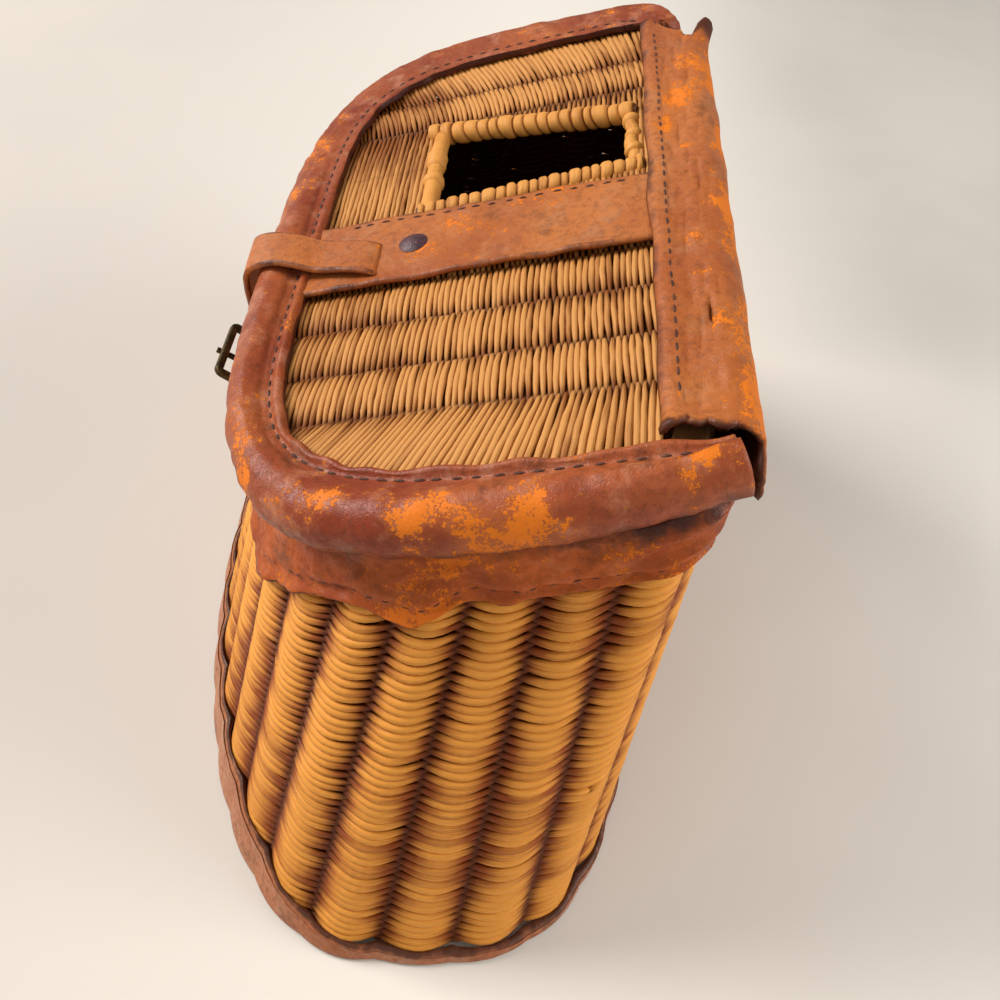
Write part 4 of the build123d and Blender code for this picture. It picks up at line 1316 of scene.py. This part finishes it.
def makeChape():
    # one closed section carried along X; in the slot its lobe is pressed down to a floor
    s = chape
    edge, slot = s["width"] / 2, s["slot"]
    cheek = np.concatenate([np.linspace(slot + 0.1, edge - 1.0, 12), [edge - 0.25, edge]])
    places = np.concatenate([-cheek[::-1], np.linspace(-slot, slot, 7), cheek])
    loop = roundLoop(np.array(s["section"]).T, 4)
    up, out = (np.broadcast_to(v, (len(places), loop.shape[1])).copy() for v in loop)
    inSlot = (np.abs(places) <= slot)[:, None] & (up > -s["slotBelow"])
    out = np.where(inSlot, np.minimum(out, s["slotFloor"]), out)
    out = out * (1 - 0.12 * (np.abs(places) > edge - 0.1)[:, None])
    grain = gather(places[:, None], up, 0)
    out = out + np.where(out > 1.5, 0.16 * softNoise(grain, 8, 131) - 0.1, 0.0)
    corner = ramp(-up, 34.6, 5)
    x = np.clip(places[:, None], -edge + 4 * corner ** 2, edge - 4 * corner ** 2)
    foot, crest = np.array(s["foot"]), np.array(s["crest"])
    upward = unit(crest - foot)
    outward = np.array([0, -upward[2], upward[1]])
    base = crest + outward * s["out"]
    place = base + upward * up[..., None] + outward * out[..., None]
    place[..., 0] += x
    wear = 0.1 + 0.3 * softNoise(grain, 9, 132) + 0.35 * np.exp(-((up + 0.5) / 3) ** 2)
    rim = 0.8 * (np.abs(places) > edge - 0.4)[:, None] + 0 * up
    faces = sweptFaces(len(places), loop.shape[1])
    piece = makePiece("buckleChape", place, faces, "basket", strapHide, {"wear": wear, "rim": rim})
    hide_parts("buckle_chape")


# woven floor: strands along X over stakes that run from front to back
floorWeave = {
    "pitch": 1.75,
    "stakeGap": 26.0,
    "swing": 1.15,
    "halfThick": 0.95,
    "halfWide": 1.55,
    "height": 2.5,
    "inset": 1.2,
    "steps": 90,
    "around": 6,
    "stakes": 13,
    "stakeRadius": 1.3,
}


def floorHalf(y):
    # half the floor's length at y, read off the foot's outline
    x, edge = footRing.offset(np.linspace(0.0, 0.5, 721), -floorWeave["inset"])
    order = np.argsort(edge)
    return np.interp(y, edge[order], x[order])


def makeFloor():
    # height = a flattened sine of x that swings once every two stakes, rows alternate
    s = floorWeave
    rows = np.arange(-81.5, 81.6, s["pitch"])
    half = floorHalf(rows)
    x = half[:, None] * np.linspace(-1, 1, s["steps"])
    y = rows[:, None] + 0.25 * softNoise(gather(x, rows[:, None] * 5, 0), 30, 141)
    wave = np.sin(pi * x / s["stakeGap"]) * np.where(np.arange(len(rows)) % 2 == 0, 1, -1)[:, None]
    lobe = np.abs(wave) ** 0.6
    centre = gather(x, y, s["height"] + s["swing"] * np.sign(wave) * lobe)
    ahead = unit(np.gradient(centre, axis=1))
    across = unit(np.cross(np.array([0, 0, 1.0]), ahead))
    wide, thick = s["halfWide"] * (0.6 + 0.4 * lobe), np.full_like(x, s["halfThick"])
    around = s["around"]
    rings, faces = tubes(centre, across, np.cross(ahead, across), wide, thick, around, 0.85)
    tone = np.random.default_rng(142).uniform(0.2, 0.8, len(rows))[:, None] + 0 * x
    mapping = strandMap(x * 0.001, around, rows[:, None, None])
    # depth: high where a strand is raised over a stake, low where it dives, for painted shade in the weave
    extras = {"tone": perRing(tone, around), "depth": perRing(0.3 + 0.6 * lobe, around)}
    piece = makePiece("floorStrands", rings, faces, "basket", wallCane, extras, mapping)
    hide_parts("floor_weave")
    places = (np.arange(s["stakes"]) - (s["stakes"] - 1) / 2) * s["stakeGap"] + s["stakeGap"] / 2
    places = places[np.abs(places) < footRing.x.max() - 12]
    reach = np.interp(np.abs(places), [0, 120, 170], [82, 68, 22])
    y = np.linspace(-1, 1, 40) * reach[:, None]
    centre = gather(places[:, None], y, s["height"])
    sideways = np.broadcast_to(np.array([1.0, 0, 0]), centre.shape)
    upright = np.broadcast_to(np.array([0, 0, 1.0]), centre.shape)
    radius = np.full_like(y, s["stakeRadius"])
    rings, faces = tubes(centre, sideways, upright, radius, radius, 8)
    makePiece("floorStakes", rings, faces, "basket", rodFinish)


strap = makeCentreStrap()
makeChape()
makeFloor()
hinge = makeHingeLeather()
makeLatchStrap()
strapRows, strapColumns = centreStrap["steps"]
line, normals = gridLine(strap, strapColumns, 3, range(10, strapRows - 6))
makeStitches("strapStitches", line, normals, "lid", 5.4, 3.1, 0.42, 123)
hingeColumns = hingeLeather["steps"][1]
outerSet = (hingeLeather["steps"][0] + 5) * hingeColumns
line, normals = gridLine(hinge, 1, 0, range(outerSet + 8, outerSet + hingeColumns - 8))
makeStitches("hingeStitches", line, normals, "lid", 5.2, 3.5, 0.34, 124)
print("straps made")


def dressNode(name, finish):
    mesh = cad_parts[name].data
    mesh.materials.clear()
    mesh.materials.append(finish)


dressed = [
    (rodFinish, ("wall_stakes", "floor_hoop", "mouth_hoop", "lid_stakes", "lid_hoop",
                 "hole_near_cane", "hole_far_cane")),
    (rivetFinish, ("strap_rivet", "rivet_burr", "chape_rivets")),
    (brassFinish, ("buckle_frame", "buckle_prong")),
]
for finish, nodeNames in dressed:
    for nodeName in nodeNames:
        dressNode(nodeName, finish)


# camera and light
cameraPlace = {"location": (284.5, 25.0, 366.7), "target": (0.0, 29.7, 35.5), "roll": 0.1118, "lens": 35.43}


def makeCamera():
    data = bpy.data.cameras.new("creelCamera")
    data.lens = cameraPlace["lens"]
    data.sensor_width = 36.0
    data.clip_start = 0.01
    camera = bpy.data.objects.new("creelCamera", data)
    bpy.context.scene.collection.objects.link(camera)
    place, target = Vector(cameraPlace["location"]) * 0.001, Vector(cameraPlace["target"]) * 0.001
    ahead = (target - place).normalized()
    right = ahead.cross(Vector((0, 0, 1))).normalized()
    upward = right.cross(ahead)
    roll = cameraPlace["roll"]
    side = right * cos(roll) + upward * sin(roll)
    top = upward * cos(roll) - right * sin(roll)
    turn = Matrix((side, top, -ahead)).transposed().to_4x4()
    camera.matrix_world = Matrix.Translation(place) @ turn
    bpy.context.scene.camera = camera


lamps = {
    "windowLamp": {"place": (-0.8, -2.5, 2.1), "goal": (0, 0, 0.1), "size": 1.6, "power": 154.0,
                   "shade": (1.0, 0.98, 0.95)},
    "fillLamp": {"place": (1.1, -0.2, 0.9), "goal": (0, 0, 0.1), "size": 1.0, "power": 3.0,
                 "shade": (1.0, 0.93, 0.84)},
    "backLamp": {"place": (0.25, 1.4, 0.8), "goal": (0.15, 0.5, 0), "size": 0.9, "power": 18.0,
                 "shade": (1.0, 0.98, 0.95)},
}


def addLamp(name, place, goal, size, power, shade):
    data = bpy.data.lights.new(name, "AREA")
    data.energy = power
    data.size = size
    data.color = shade
    lamp = bpy.data.objects.new(name, data)
    bpy.context.scene.collection.objects.link(lamp)
    lamp.location = place
    lamp.rotation_euler = (Vector(goal) - Vector(place)).to_track_quat("-Z", "Y").to_euler()


def makeStudio():
    scene = bpy.context.scene
    scene.view_settings.view_transform = "Standard"
    world = bpy.data.worlds.new("paleRoom")
    world.use_nodes = True
    world.node_tree.nodes["Background"].inputs[0].default_value = (1.0, 0.985, 0.96, 1)
    world.node_tree.nodes["Background"].inputs[1].default_value = 0.36
    scene.world = world
    for name, settings in lamps.items():
        addLamp(name, **settings)
    points = np.array([(-2500, -2500, 0), (2500, -2500, 0), (2500, 2500, 0), (-2500, 2500, 0)], float)
    finish, tree, shader = newFinish("paleCloth", specular=0.2)
    place = addNode(tree, "ShaderNodeTexCoord").outputs["Object"]
    axes = addNode(tree, "ShaderNodeSeparateXYZ")
    link(tree, place, axes.inputs[0])
    # painted light and shade on the floor: lighter towards +Y, where the basket's cast shadow falls, and
    # darker behind and farther off, where the lamp's light falls off
    body = mixColours(tree, stretch(tree, axes.outputs["Y"], -0.35, 0.35), tint("bdb6ae"), tint("e4dfd7"))
    behind = stretch(tree, axes.outputs["Y"], 0.0, 0.3)
    farther = stretch(tree, axes.outputs["X"], 0.06, -0.22)
    body = mixColours(tree, calculate(tree, "MULTIPLY", behind, farther), body, tint("aba69f"))
    patches = stretch(tree, noise(tree, place, 5.0, 3.0), 0.3, 0.7, 0.0, 0.3)
    body = mixColours(tree, patches, body, tint("cbc2b8"))
    link(tree, body, shader.inputs["Base Color"])
    shader.inputs["Roughness"].default_value = 0.9
    mesh = bpy.data.meshes.new("floorSheet")
    mesh.from_pydata((points * 0.001).tolist(), [], [(0, 1, 2, 3)])
    mesh.materials.append(finish)
    floor = bpy.data.objects.new("floorSheet", mesh)
    scene.collection.objects.link(floor)


makeCamera()
makeStudio()
print("camera and light set")
